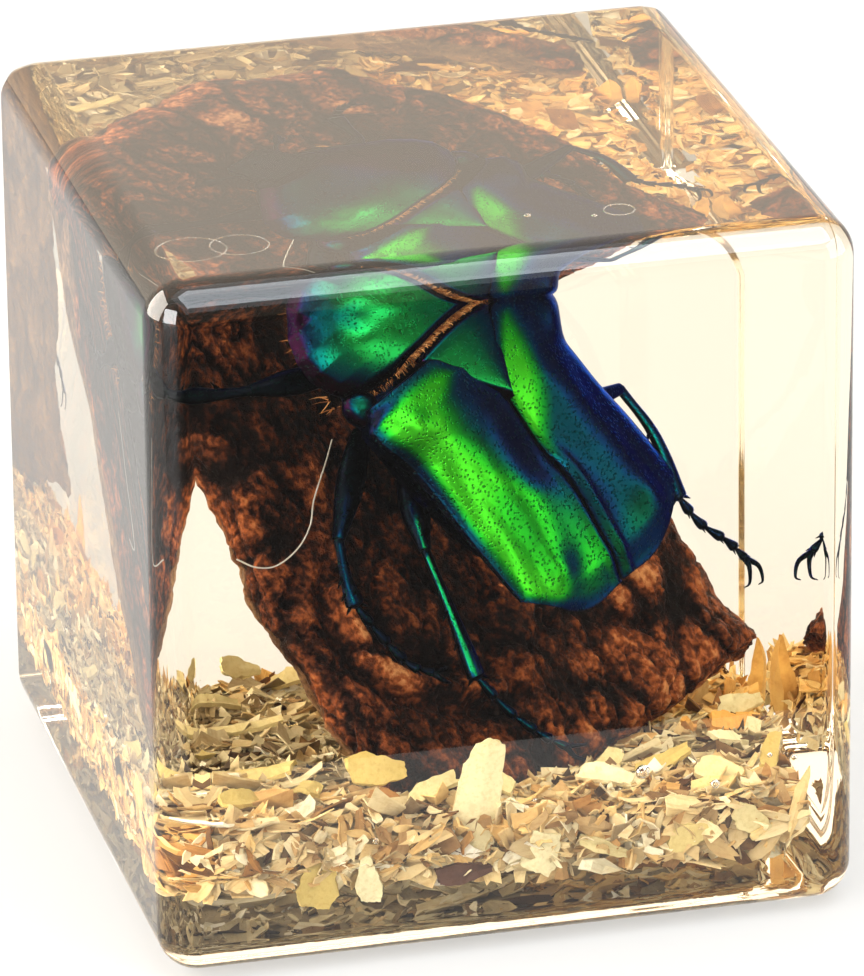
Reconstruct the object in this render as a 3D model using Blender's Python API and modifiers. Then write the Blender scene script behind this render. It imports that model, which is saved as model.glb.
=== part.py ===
"""A flower chafer on a leaning plank of bark over chopped dry litter, cast in a clear resin cube.

Metres, +Z up. The origin is the middle of the cube's underside, and the cube's front faces -Y.
Forms are written in millimetres in their own frames and turned into metres as they are built.
"""
import math
import random

import bmesh
import bpy
from mathutils import Matrix, Vector, noise

MM = 0.001

# The cube, in metres.
BLOCK_WIDTH = 0.0420
BLOCK_DEPTH = 0.0423
BLOCK_HEIGHT = 0.0430
EDGE_ROUND = 0.0024
ROUND_STEPS = 4
PARTING_HEIGHT = 0.0150
CLEARANCE = 0.0003

# The space inside the cube that the contents keep to, in millimetres.
WALL = 0.7
REACH_X = BLOCK_WIDTH / MM / 2 - WALL
REACH_Y = BLOCK_DEPTH / MM / 2 - WALL
REACH_TOP = BLOCK_HEIGHT / MM - WALL
REACH_BOTTOM = 2.5

# The litter bed, in millimetres.
BED_BOTTOM = 3.7
BED_TOP = 7.0
BED_RISE_TO_FRONT = 0.03
BED_RISE_TO_LEFT = 0.05
BED_LUMP = 0.35
BED_HALF_X = 18.9
BED_FRONT = -18.5
BED_BACK = 19.4
BED_CELLS = (13, 13, 1)

# The bark plank: its frame in the cube, then its outline in that frame, in millimetres.
BARK_PLACE = Vector((0.3, -0.5, 20.4))
BARK_LENGTHWAYS = Vector((-0.50, 0.33, 0.80))
BARK_FACE = Vector((0.44, -0.70, 0.56))
BARK_LEFT_EDGE = ((-16.4, -14.9), (-7.2, -14.6), (-2.8, -14.2), (2.0, -14.4), (7.2, -12.9), (12.7, -11.8))
BARK_RIGHT_LOW = ((-15.6, 17.3), (-12.4, 16.5), (-9.1, 15.9), (-6.6, 15.3))
BARK_RIGHT_EDGE = (*BARK_RIGHT_LOW, (-1.3, 16.9), (3.0, 17.1), (13.5, 15.8), (18.0, 13.4))
BARK_FOOT = -15.9
BARK_HEAD = 26.8
BARK_CURL = 2.4
BARK_SHOULDER_CUT = 4.6
BARK_THICKNESS = 4.6
BARK_RIDGE = 0.55
BARK_LEDGE = 0.5
BARK_CELLS = (13, 17, 2)
BARK_X_LIMIT = REACH_X - 0.3
BARK_TOP_LIMIT = 41.6
BARK_FOOT_LIMIT = 3.4
BARK_CLEARANCE = 0.9

# The pocket's boxes, each between two corners in the frame of what it holds, in millimetres.
BARK_SPACE = ((-17.2, -18.6, -7.2), (20.8, 28.6, 2.2))
LITTER_SPACE = ((-30.0, -30.0, 0.0), (30.0, 30.0, 12.6))
TALL_CHIP_SPACE = ((-3.6, -30.0, 5.0), (0.6, -16.0, 13.6))
LEG_SPACE = ((-13.6, -23.4, -10.6), (17.2, 3.2, -1.6))
HEAD_SPACE = ((-12.4, 3.0, -7.0), (11.8, 15.4, 2.6))
BODY_SPACE_CENTRE = (0.0, -1.8, -1.4)
BODY_SPACE_RADII = (11.4, 18.8, 8.8)
BEYOND = 60.0

# The beetle's frame in the cube: +X its right side, +Y its head, +Z its back.
BEETLE_PLACE = Vector((-0.87, -3.18, 31.13))
BEETLE_RIGHT = Vector((0.71, 0.61, 0.34))
BEETLE_HEADWAYS = Vector((-0.59, 0.26, 0.77))

# The beetle's body, in millimetres in its own frame.
SUTURE_Y = -16.2
SHOULDER_WIDTH = 8.4
WAIST_WIDTH = 7.35
TAIL_WIDTH = 7.5
ELYTRA_BASE_Y = 2.1
ELYTRA_FRONT_RIDGE = 4.25
ELYTRA_RIDGE = 3.4
ELYTRA_TAIL_RIDGE = 1.5
ELYTRA_MARGIN = 1.2
SHOULDER_RISE = 0.9
SUTURE_GROOVE = 0.35
PRONOTUM_HIND_Y = 3.1
PRONOTUM_FRONT_Y = 11.6
PRONOTUM_LEAN = -0.11
PRONOTUM_HEIGHT = 4.3
PRONOTUM_HIND_WIDTHS = ((3.0, 6.1), (3.6, 6.9), (4.6, 7.5), (5.9, 7.8))
PRONOTUM_HALF_WIDTHS = (*PRONOTUM_HIND_WIDTHS, (7.2, 7.5), (8.7, 6.6), (10.2, 4.9), (11.6, 3.1))
SCUTELLUM_WIDTH = 3.2
SCUTELLUM_LENGTH = 5.95
HEAD_FRONT_Y = 14.2
HEAD_WIDTH = 2.2
HEAD_ASIDE = -1.1
TRUNK_CENTRE = (0.0, -2.8, -1.6)
TRUNK_RADII = (5.9, 12.7, 3.7)
EYE_RADIUS = 0.8

RESIN_COLOUR = (1.0, 0.93, 0.82, 0.35)
CHITIN_COLOUR = (0.01, 0.30, 0.07, 1.0)
BARK_COLOUR = (0.085, 0.032, 0.015, 1.0)
LITTER_COLOUR = (0.42, 0.34, 0.17, 1.0)
PALE_CHIP_COLOUR = (0.68, 0.60, 0.36, 1.0)
YELLOW_CHIP_COLOUR = (0.58, 0.43, 0.14, 1.0)
ORANGE_CHIP_COLOUR = (0.60, 0.27, 0.06, 1.0)
SEED_COLOUR = (0.045, 0.022, 0.014, 1.0)
HUSK_COLOUR = (0.62, 0.42, 0.18, 1.0)


def clear_scene():
    for old in list(bpy.data.objects):
        bpy.data.objects.remove(old, do_unlink=True)


def new_collection(name):
    made = bpy.data.collections.new(name)
    bpy.context.scene.collection.children.link(made)
    return made


def material(name, colour, roughness, metallic=0.0):
    made = bpy.data.materials.new(name)
    made.use_nodes = True
    shader = made.node_tree.nodes["Principled BSDF"]
    shader.inputs["Base Color"].default_value = colour
    shader.inputs["Roughness"].default_value = roughness
    shader.inputs["Metallic"].default_value = metallic
    shader.inputs["Alpha"].default_value = colour[3]
    return made


def frame(place, lengthways, face):
    """Matrix of a frame at place (mm): +Y runs lengthways and +Z is nearest to face."""
    along = lengthways.normalized()
    across = along.cross(face).normalized()
    out = across.cross(along)
    turn = Matrix((across, along, out)).transposed().to_4x4()
    return Matrix.Translation(place * MM) @ turn


def smooth(value):
    value = min(max(value, 0.0), 1.0)
    return value * value * (3.0 - 2.0 * value)


def blend(start, end, share):
    return start + (end - start) * share


def read_off(pairs, place):
    """The value at a place between (place, value) pairs, along straight lines from pair to pair."""
    for (start, value), (end, next_value) in zip(pairs, pairs[1:]):
        if place <= end:
            return blend(value, next_value, min(max((place - start) / (end - start), 0.0), 1.0))
    return pairs[-1][1]


def lumps(x, y, z, size, seed):
    """Smooth noise between about -1 and 1 with lumps of the given size in millimetres."""
    return noise.noise(Vector((x / size + seed, y / size - seed, z / size + 2 * seed)))


def add_object(name, mesh, collection, matrix=Matrix.Identity(4), finish=None):
    made = bpy.data.objects.new(name, mesh)
    collection.objects.link(made)
    made.matrix_world = matrix
    if finish:
        mesh.materials.append(finish)
    return made


def hide_as_cutter(cutter):
    cutter.hide_render = True
    cutter.display_type = "WIRE"


def add_boolean(target, operation, other):
    step = target.modifiers.new(operation.lower(), "BOOLEAN")
    step.operation = operation
    step.object = other


def shaped_block(name, cells, form, collection, matrix=Matrix.Identity(4), finish=None):
    """A cube cut into cells along X, Y and Z; form(s, t, w) places each corner in millimetres."""
    shape = bmesh.new()
    bmesh.ops.create_cube(shape, size=2.0)
    for axis, count in enumerate(cells):
        along = [
            edge
            for edge in shape.edges
            if abs(edge.verts[0].co[axis] - edge.verts[1].co[axis]) > 1.0
        ]
        if count > 1:
            bmesh.ops.subdivide_edges(shape, edges=along, cuts=count - 1, use_grid_fill=True)
    for vert in shape.verts:
        vert.co = form(*vert.co) * MM
    bmesh.ops.recalc_face_normals(shape, faces=shape.faces)
    mesh = bpy.data.meshes.new(name)
    shape.to_mesh(mesh)
    shape.free()
    return add_object(name, mesh, collection, matrix, finish)


def box(name, low, high, collection, matrix=Matrix.Identity(4)):
    """A plain box between two corners given in millimetres."""

    def corner(s, t, w):
        return Vector(blend(a, b, (share + 1) / 2) for a, b, share in zip(low, high, (s, t, w)))

    return shaped_block(name, (1, 1, 1), corner, collection, matrix)


def ball(name, centre, radii, rings, collection, matrix, turn=Matrix.Identity(4)):
    """An ellipsoid at centre with the three radii, all in millimetres."""
    shape = bmesh.new()
    size = Matrix.Diagonal((*(Vector(radii) * MM), 1.0))
    place = Matrix.Translation(Vector(centre) * MM) @ turn @ size
    bmesh.ops.create_uvsphere(
        shape, u_segments=rings + 2, v_segments=rings, radius=1.0, matrix=place
    )
    mesh = bpy.data.meshes.new(name)
    shape.to_mesh(mesh)
    shape.free()
    return add_object(name, mesh, collection, matrix)


def tube(name, route, radii, collection, matrix, sides=2):
    """A capped tube mesh along a route of points, with a radius at each, in millimetres."""
    curve = bpy.data.curves.new(name, "CURVE")
    curve.dimensions = "3D"
    curve.bevel_depth = MM
    curve.bevel_resolution = sides
    curve.use_fill_caps = True
    spline = curve.splines.new("POLY")
    spline.points.add(len(route) - 1)
    for point, place, radius in zip(spline.points, route, radii):
        point.co = (*(Vector(place) * MM), 1.0)
        point.radius = radius
    guide = add_object(name + "_guide", curve, collection, matrix)
    mesh = bpy.data.meshes.new_from_object(
        guide.evaluated_get(bpy.context.evaluated_depsgraph_get())
    )
    bpy.data.objects.remove(guide)
    shape = bmesh.new()
    shape.from_mesh(mesh)
    bmesh.ops.remove_doubles(shape, verts=shape.verts, dist=0.00001)
    bmesh.ops.recalc_face_normals(shape, faces=shape.faces)
    shape.to_mesh(mesh)
    shape.free()
    return add_object(name, mesh, collection, matrix)


# ---------------------------------------------------------------- bark

def bark_right_edge(v):
    return read_off(BARK_RIGHT_EDGE, v) + 0.4 * lumps(0.0, v, 0.0, 3.5, 4.0)


def bark_left_edge(v):
    return read_off(BARK_LEFT_EDGE, v) + 0.4 * lumps(0.0, v, 5.0, 4.0, 9.0)


def bark_front(u, v):
    """Height of the plank's face: fibres along it, stepped plates, and a foot that curls back."""
    fibres = BARK_RIDGE * lumps(u * 2.2, v * 0.6, 0.0, 4.0, 1.0)
    plates = BARK_LEDGE * round(1.6 * lumps(u, v * 0.7, 3.0, 7.0, 6.0))
    curl = BARK_CURL * smooth((u - 4.0) / 14.0) * smooth((-4.0 - v) / 12.0)
    return fibres + plates - curl


def bark_form(grow):
    """The plank's form, grown by a margin on every side for the bed to be cut by."""

    def form(s, t, w):
        head = BARK_HEAD - BARK_SHOULDER_CUT * smooth((s - 0.35) / 0.5)
        head += 0.7 * lumps(s * 8.0, 0.0, 0.0, 3.0, 2.0)
        foot = BARK_FOOT + 0.5 * lumps(s * 9.0, 7.0, 0.0, 4.0, 3.0)
        v = blend(foot - grow, head + grow, (t + 1) / 2)
        u = blend(bark_left_edge(v) - grow, bark_right_edge(v) + grow, (s + 1) / 2)
        thickness = BARK_THICKNESS + 0.8 * lumps(u, v, 0.0, 6.0, 8.0)
        thin = 1.3 * smooth((abs(s) - 0.8) / 0.2)
        front = bark_front(u, v) - thin * 0.6
        back = bark_front(u, v) - thickness + thin
        height = blend(back - grow, front + grow, (w + 1) / 2)
        return Vector((u, v, height))

    return form


def keep_inside(piece):
    """Moves a piece's corners back within the cube's walls, as where the plank was broken off."""
    to_world = piece.matrix_world
    to_own = to_world.inverted()
    for vert in piece.data.vertices:
        place = to_world @ vert.co
        rough = 0.1 * MM * (1 + lumps(*(place / MM), 2.5, 5.0))
        limit = BARK_X_LIMIT * MM - rough
        place.x = min(max(place.x, -limit), limit)
        place.z = min(place.z, BARK_TOP_LIMIT * MM - 3 * rough)
        place.z = max(place.z, BARK_FOOT_LIMIT * MM + rough)
        vert.co = to_own @ place


def build_bark(parts, cutters):
    matrix = frame(BARK_PLACE, BARK_LENGTHWAYS, BARK_FACE)
    finish = material("bark", BARK_COLOUR, 0.85)
    bark = shaped_block("bark", BARK_CELLS, bark_form(0.0), parts, matrix, finish)
    keep_inside(bark)
    bed_cutter = shaped_block("bark_clearance", BARK_CELLS, bark_form(BARK_CLEARANCE), cutters, matrix)
    hide_as_cutter(bed_cutter)
    return bed_cutter


# ---------------------------------------------------------------- beetle

def elytra_width(y):
    """Half width of the closed wing cases: shoulder, sinuate flank, full hind part, round tail."""
    shoulder = blend(WAIST_WIDTH, SHOULDER_WIDTH, smooth((y + 2.8) / 3.0))
    base_round = 0.9 * smooth((y - 1.0) / 1.1)
    hind = (TAIL_WIDTH - WAIST_WIDTH) * smooth((-5.0 - y) / 4.0)
    return shoulder - base_round + hind


def elytra_ridge(y):
    """Height of the back along the suture."""
    middle = blend(ELYTRA_FRONT_RIDGE, ELYTRA_RIDGE, smooth((-2.5 - y) / 5.5))
    return blend(middle, ELYTRA_TAIL_RIDGE, smooth((-8.0 - y) / 8.2))


def elytron_form(side):
    """One wing case, from the suture to its flank; side is -1 for left and 1 for right."""

    def form(s, t, w):
        across = (s + 1) / 2
        tail = SUTURE_Y + 4.2 * max(across - 0.10, 0.0) ** 2.6 - 0.7 * math.sin(across * math.pi) ** 2
        base = ELYTRA_BASE_Y - 2.6 * smooth((0.42 - across) / 0.4) + 0.2 * across
        y = blend(tail, base, (t + 1) / 2)
        x = 0.12 + (elytra_width(y) - 0.12) * across
        margin = ELYTRA_MARGIN + SHOULDER_RISE * smooth((y + 3.0) / 3.0)
        top = blend(margin, elytra_ridge(y), (1.0 - across ** 3.0) ** 0.60)
        top -= SUTURE_GROOVE * (1.0 - smooth(across / 0.06))
        top -= 0.9 * smooth((-14.2 - y) / 2.4)
        under = 1.0 - 0.14 * (1 - w) / 2
        height = blend(-0.6, top, (w + 1) / 2)
        return Vector((side * x * under, y, height))

    return form


def pronotum_form(s, t, w):
    """The shield behind the head, which stands a little to the left of the body's middle."""
    hind = PRONOTUM_HIND_Y - 0.35 * smooth((abs(s) - 0.5) / 0.4)
    y = blend(hind, PRONOTUM_FRONT_Y, (t + 1) / 2)
    fore = smooth((y - 5.2) / 7.0)
    dome = (1.0 - abs(s) ** 2.6) ** 0.66
    top = blend(0.95 - 0.5 * fore, PRONOTUM_HEIGHT - 2.0 * fore, dome)
    under = 1.0 - 0.2 * (1 - w) / 2
    x = read_off(PRONOTUM_HALF_WIDTHS, y) * s + PRONOTUM_LEAN * (y - PRONOTUM_HIND_Y)
    return Vector((x * under, y, blend(-1.5, top, (w + 1) / 2)))


def scutellum_form(s, t, w):
    back = (1 - t) / 2
    half = SCUTELLUM_WIDTH * (1.0 - back ** 1.3) + 0.15
    y = PRONOTUM_HIND_Y + 0.2 - SCUTELLUM_LENGTH * back
    top = 4.4 - 0.35 * s * s
    return Vector((half * s, y, blend(2.0, top, (w + 1) / 2)))


def head_form(s, t, w):
    """The head plate, bent down and turned a little to the left."""
    along = (t + 1) / 2
    y = blend(PRONOTUM_FRONT_Y - 1.2, HEAD_FRONT_Y, along)
    half = HEAD_WIDTH * (1.0 - 0.14 * along) * (1.0 - 0.2 * smooth((along - 0.85) / 0.15))
    top = blend(1.7, -1.1, along ** 1.3) - 0.5 * s * s
    under = blend(-1.4, -2.2, along)
    return Vector((HEAD_ASIDE + half * s, y, blend(under, top, (w + 1) / 2)))


# Each leg, in beetle millimetres: femur ends, shank route, foot route, and which way the claws bend.
LEGS = {
    "left_middle": {
        "femur": ((-4.2, 1.4, -3.9), (-10.8, -2.7, -3.6)),
        "shank": ((-10.8, -2.7, -3.6), (-12.0, -4.9, -4.0), (-12.5, -6.4, -4.3)),
        "foot": ((-12.5, -6.4, -4.3), (-12.3, -9.1, -4.7), (-12.0, -11.5, -4.8), (-11.3, -12.9, -4.5)),
        "claw_bend": (0.9, -0.5, -0.4),
    },
    "left_hind": {
        "femur": ((-4.1, -2.5, -3.6), (-6.9, -6.7, -3.1)),
        "shank": ((-6.9, -6.7, -3.1), (-8.1, -10.9, -3.7), (-9.3, -14.8, -4.3)),
        "foot": ((-9.3, -14.8, -4.3), (-8.8, -17.8, -4.8), (-7.9, -20.3, -5.1), (-7.1, -22.0, -5.1)),
        "claw_bend": (0.8, -0.9, 0.1),
    },
    "right_hind": {
        "femur": ((2.3, -4.5, -2.5), (13.9, -7.3, -5.6)),
        "shank": ((13.9, -7.3, -5.6), (14.2, -11.0, -6.4), (13.4, -15.0, -7.5)),
        "foot": ((13.4, -15.0, -7.5), (13.9, -17.2, -8.2), (14.9, -19.3, -8.6), (15.25, -20.9, -8.8)),
        "claw_bend": (-0.7, -1.4, -0.4),
    },
    "right_middle": {
        "femur": ((3.4, 0.4, -4.3), (9.0, -3.0, -4.6)),
        "shank": ((9.0, -3.0, -4.6), (9.7, -6.0, -5.1), (10.0, -7.9, -5.4)),
        "foot": ((10.0, -7.9, -5.4), (10.2, -10.4, -5.8), (9.6, -12.7, -6.0), (8.7, -14.0, -6.0)),
        "claw_bend": (-0.8, -0.6, 0.0),
    },
    "left_front": {
        "femur": ((-3.2, 5.3, -3.6), (-7.6, 7.8, -4.8)),
        "shank": ((-7.6, 7.8, -4.8), (-9.1, 8.9, -5.4), (-10.6, 10.1, -5.8)),
        "foot": ((-10.6, 10.1, -5.8), (-11.3, 11.8, -6.0), (-11.4, 13.2, -6.0)),
        "claw_bend": (0.3, 0.8, 0.2),
    },
    "right_front": {
        "femur": ((2.8, 5.6, -3.9), (6.2, 7.7, -3.8)),
        "shank": ((6.2, 7.7, -3.8), (7.0, 9.0, -4.5), (7.6, 9.8, -5.2)),
        "foot": ((7.6, 9.8, -5.2), (8.9, 10.1, -5.7), (10.1, 9.6, -6.1)),
        "claw_bend": (0.7, -0.6, 0.0),
    },
}
FEMUR_RADIUS = 0.95
SHANK_RADII = (0.42, 0.50, 0.68)
FOOT_RADIUS = 0.34
CLAW_RADIUS = 0.18


def femur(name, start, end, cutters, matrix):
    """A spindle between two points."""
    start, end = Vector(start), Vector(end)
    reach = end - start
    turn = reach.to_track_quat("Z", "Y").to_matrix().to_4x4()
    radii = (FEMUR_RADIUS, FEMUR_RADIUS * 0.8, reach.length / 2 + 0.4)
    return ball(name, (start + end) / 2, radii, 8, cutters, matrix, turn)


def leg_pieces(name, leg, cutters, matrix):
    """A femur, a shank that widens to its end, a jointed foot and its two claws."""
    pieces = [femur(name + "_femur", *leg["femur"], cutters, matrix)]
    pieces.append(tube(name + "_shank", leg["shank"], SHANK_RADII, cutters, matrix))
    route, radii = [], []
    for start, end in zip(leg["foot"][:-1], leg["foot"][1:]):
        start, end = Vector(start), Vector(end)
        route += [start, blend(start, end, 0.8)]
        radii += [FOOT_RADIUS * 0.7, FOOT_RADIUS]
    route.append(Vector(leg["foot"][-1]))
    radii.append(FOOT_RADIUS * 0.8)
    pieces.append(tube(name + "_foot", route, radii, cutters, matrix, sides=1))
    tip = Vector(leg["foot"][-1])
    bend = Vector(leg["claw_bend"])
    spread = bend.cross(Vector((0.0, 0.0, 1.0))).normalized() * 0.55
    for side in (-1, 1):
        root = tip - bend * 0.1 + side * spread * 0.2
        hook = [root, tip + bend * 0.5 + side * spread, tip + bend + side * spread * 1.3]
        claw = tube(f"{name}_claw{side}", hook, (CLAW_RADIUS,) * 3, cutters, matrix, sides=1)
        pieces.append(claw)
    return pieces


def build_beetle(parts, cutters):
    """The beetle is one grown thing, so its forms are fused to the body."""
    matrix = frame(BEETLE_PLACE, BEETLE_HEADWAYS, BEETLE_RIGHT.cross(BEETLE_HEADWAYS))
    body = ball("beetle", TRUNK_CENTRE, TRUNK_RADII, 18, parts, matrix)
    body.data.materials.append(material("green_chitin", CHITIN_COLOUR, 0.25, 0.6))
    pieces = [
        ball("prothorax", (-0.3, 6.4, -1.2), (5.6, 5.0, 3.0), 12, cutters, matrix),
        shaped_block("left_elytron", (7, 12, 2), elytron_form(-1), cutters, matrix),
        shaped_block("right_elytron", (7, 12, 2), elytron_form(1), cutters, matrix),
        shaped_block("pronotum", (12, 8, 2), pronotum_form, cutters, matrix),
        shaped_block("scutellum", (4, 5, 1), scutellum_form, cutters, matrix),
        shaped_block("head", (4, 3, 1), head_form, cutters, matrix),
    ]
    for side in (-1, 1):
        eye = (HEAD_ASIDE + side * 2.2, 11.4, 0.3)
        pieces.append(ball(f"eye{side}", eye, (EYE_RADIUS,) * 3, 8, cutters, matrix))
        flank = (side * 6.6, 2.6, 0.9)
        pieces.append(ball(f"flank_wedge{side}", flank, (1.2, 1.3, 1.1), 8, cutters, matrix))
        feeler = [
            (HEAD_ASIDE + side * outwards, y, z)
            for outwards, y, z in ((1.5, 12.5, -0.9), (2.6, 13.3, -1.5), (4.0, 13.5, -2.2))
        ]
        pieces.append(tube(f"antenna{side}", feeler, (0.25, 0.25, 0.45), cutters, matrix, sides=1))
    for name, leg in LEGS.items():
        pieces += leg_pieces(name, leg, cutters, matrix)
    for piece in pieces:
        hide_as_cutter(piece)
        add_boolean(body, "UNION", piece)
    return matrix


# ---------------------------------------------------------------- litter

def bed_height(x, y):
    """Height of the bed's surface without its lumps, in millimetres."""
    return BED_TOP - BED_RISE_TO_FRONT * y - BED_RISE_TO_LEFT * x


def bed_form(s, t, w):
    x = BED_HALF_X * s
    y = blend(BED_FRONT, BED_BACK, (t + 1) / 2)
    x += 0.3 * lumps(x, y, 0.0, 2.0, 1.5) * abs(s)
    y += 0.3 * lumps(x, y, 9.0, 2.0, 2.5) * abs(t)
    low = BED_BOTTOM + BED_LUMP * lumps(x, y, 0.0, 2.4, 3.5)
    high = bed_height(x, y) + BED_LUMP * lumps(x, y, 5.0, 2.8, 4.5)
    return Vector((x, y, blend(low, high, (w + 1) / 2)))


# Loose bits that show: place, length, width, turns about X, Y, Z in degrees, how pointed, finish.
# Those on the bed give their height above it; those against the front wall stand upright.
ON_BED = {
    "yellow_leaf": ((-7.2, -14.6), 2.6, 3.6, 2.6, (62, 8, 12), 0.8, "yellow_chip"),
    "pale_chip_left": ((-3.9, -15.0), 1.3, 3.2, 1.5, (20, -14, 24), 0.3, "pale_chip"),
    "pale_chip_crossed": ((-0.2, -14.6), 1.5, 2.8, 1.2, (30, 22, -40), 0.2, "pale_chip"),
    "pale_chip_middle": ((7.4, -10.2), 1.0, 3.0, 1.6, (16, -10, 62), 0.5, "pale_chip"),
    "pale_chip_right": ((6.6, -14.6), 1.3, 3.2, 1.7, (24, 14, -20), 0.4, "pale_chip"),
    "olive_chip": ((10.6, -11.0), 1.1, 3.4, 1.6, (18, -16, 12), 0.6, "yellow_chip"),
    "corner_chip": ((13.4, -15.4), 1.3, 3.0, 2.0, (34, 10, -30), 0.5, "pale_chip"),
    "right_strip": ((17.2, -11.4), 1.3, 4.6, 1.1, (14, -12, 74), 0.3, "yellow_chip"),
    "right_chip": ((15.6, -6.2), 1.2, 2.8, 1.5, (20, 18, 35), 0.6, "pale_chip"),
    "orange_chip": ((16.6, -1.2), 1.1, 3.0, 1.7, (30, 10, 15), 0.6, "orange_chip"),
    "orange_splinter": ((13.6, -3.2), 1.5, 3.2, 0.8, (22, 24, 70), 0.9, "orange_chip"),
    "cream_curl": ((17.8, 2.2), 1.5, 2.6, 1.6, (50, -10, -24), 0.7, "pale_chip"),
    "back_flake_tall": ((-11.1, 17.3), 2.2, 2.8, 1.6, (56, 16, 20), 0.8, "pale_chip"),
    "back_flake_low": ((-7.6, 17.4), 1.4, 3.2, 1.5, (26, -14, -12), 0.5, "pale_chip"),
    "left_flake_back": ((-13.6, 12.6), 1.2, 4.2, 1.3, (14, 10, 10), 0.4, "pale_chip"),
    "left_flake_middle": ((-12.4, 5.6), 1.1, 4.6, 1.1, (12, -8, -14), 0.3, "pale_chip"),
    "left_flake_wall": ((-16.8, -1.2), 1.1, 3.6, 1.4, (16, 10, 40), 0.6, "yellow_chip"),
    "left_flake_front": ((-13.2, -7.4), 1.1, 3.8, 1.9, (14, -10, -22), 0.4, "yellow_chip"),
    "leaf_corner": ((-15.2, -14.6), 1.2, 3.2, 2.0, (22, 14, 30), 0.5, "yellow_chip"),
    "flat_flake": ((-11.2, -12.2), 1.0, 3.0, 1.8, (14, 8, 68), 0.4, "yellow_chip"),
}
AT_FRONT = {
    "fan_flake": ((-11.6, 4.9), 3.0, 2.5, 80, 0.6, "yellow_chip"),
    "notched_flake": ((-8.6, 4.8), 2.9, 1.5, 96, 0.8, "pale_chip"),
    "dark_seed": ((-2.8, 4.6), 3.3, 1.4, 4, 0.9, "seed"),
    "square_flake": ((1.8, 5.4), 2.5, 2.2, 72, 0.2, "pale_chip"),
    "slip_flake": ((5.6, 5.2), 3.2, 1.0, -24, 0.7, "pale_chip"),
    "oval_flake": ((10.9, 5.3), 2.7, 1.6, 12, 0.7, "yellow_chip"),
    "torn_flake": ((14.6, 5.8), 2.6, 1.7, -38, 0.6, "pale_chip"),
}
TALL_CHIP_PLACE = (-1.6, -18.0, 9.0)
TALL_CHIP_TURNS = (84, -80, 0)
TALL_CHIP_LENGTH = 7.4
TALL_CHIP_WIDTH = 2.7
HUSK_PLACE = (19.45, 10.6, 6.7)
HUSK_TURNS = (0, -87, -18)
HUSK_LENGTH = 4.8
HUSK_WIDTH = 1.7
FRONT_FLAKE_Y = -19.5
CHIP_THICKNESS = 0.3
SEED_THICKNESS = 0.6
CHIP_BEND = 0.35


def chip_form(length, width, pointed, thickness, draw):
    """A dry flake along X: torn ends, one end pointed, bowed along and across."""
    tears = [draw.uniform(-0.16, 0.16) for _ in range(8)]
    bow = CHIP_BEND * draw.uniform(-1.0, 1.0)

    def form(s, t, w):
        taper = 1.0 - pointed * 0.75 * smooth((s + 0.4) / 1.4) - 0.3 * smooth((-s - 0.5) / 0.5)
        tear = tears[int(2.99 * (s + 1) / 2) + (4 if t > 0 else 0)]
        x = length / 2 * (s + tear * t)
        y = width / 2 * t * taper * (1.0 + tear)
        z = bow * s * s - bow * 0.6 * t * t + thickness / 2 * w
        return Vector((x, y, z))

    return form


def add_chip(name, place, turns, form, finish, parts):
    turn = Matrix.Rotation(math.radians(turns[2]), 4, "Z")
    turn = turn @ Matrix.Rotation(math.radians(turns[1]), 4, "Y")
    turn = turn @ Matrix.Rotation(math.radians(turns[0]), 4, "X")
    matrix = Matrix.Translation(Vector(place) * MM) @ turn
    return shaped_block(name, (3, 2, 1), form, parts, matrix, finish)


def build_chips(parts):
    finishes = {
        "pale_chip": material("pale_chip", PALE_CHIP_COLOUR, 0.7),
        "yellow_chip": material("yellow_chip", YELLOW_CHIP_COLOUR, 0.7),
        "orange_chip": material("orange_chip", ORANGE_CHIP_COLOUR, 0.7),
        "seed": material("dark_seed", SEED_COLOUR, 0.6),
        "husk": material("husk", HUSK_COLOUR, 0.7),
    }
    draw = random.Random(31)
    for name, ((x, y), lift, length, width, turns, pointed, finish) in ON_BED.items():
        form = chip_form(length, width, pointed, CHIP_THICKNESS, draw)
        add_chip(name, (x, y, bed_height(x, y) + lift), turns, form, finishes[finish], parts)
    for name, ((x, z), length, width, tilt, pointed, finish) in AT_FRONT.items():
        thickness = SEED_THICKNESS if finish == "seed" else CHIP_THICKNESS
        form = chip_form(length, width, pointed, thickness, draw)
        add_chip(name, (x, FRONT_FLAKE_Y, z), (90, -tilt, 0), form, finishes[finish], parts)
    form = chip_form(HUSK_LENGTH, HUSK_WIDTH, 0.9, SEED_THICKNESS, random.Random(9))
    add_chip("seed_husk", HUSK_PLACE, HUSK_TURNS, form, finishes["husk"], parts)
    form = chip_form(TALL_CHIP_LENGTH, TALL_CHIP_WIDTH, 0.45, CHIP_THICKNESS, random.Random(5))
    add_chip("tall_chip", TALL_CHIP_PLACE, TALL_CHIP_TURNS, form, finishes["pale_chip"], parts)


def build_notches(cutters):
    """Clearances in the bed for the tall chip and the husk, which stand in it."""
    around = chip_form(TALL_CHIP_LENGTH + 1.0, TALL_CHIP_WIDTH + 1.0, 0.45, 2.4, random.Random(5))
    notches = [add_chip("tall_chip_clearance", TALL_CHIP_PLACE, TALL_CHIP_TURNS, around, None, cutters)]
    around = chip_form(HUSK_LENGTH + 1.2, HUSK_WIDTH + 1.2, 0.4, 2.2, random.Random(9))
    notches.append(add_chip("husk_clearance", HUSK_PLACE, HUSK_TURNS, around, None, cutters))
    for notch in notches:
        hide_as_cutter(notch)
    return notches


def build_bed(parts, clearances):
    finish = material("dry_litter", LITTER_COLOUR, 0.8)
    bed = shaped_block("litter_bed", BED_CELLS, bed_form, parts, finish=finish)
    for clearance in clearances:
        add_boolean(bed, "DIFFERENCE", clearance)


# ---------------------------------------------------------------- resin

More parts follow.
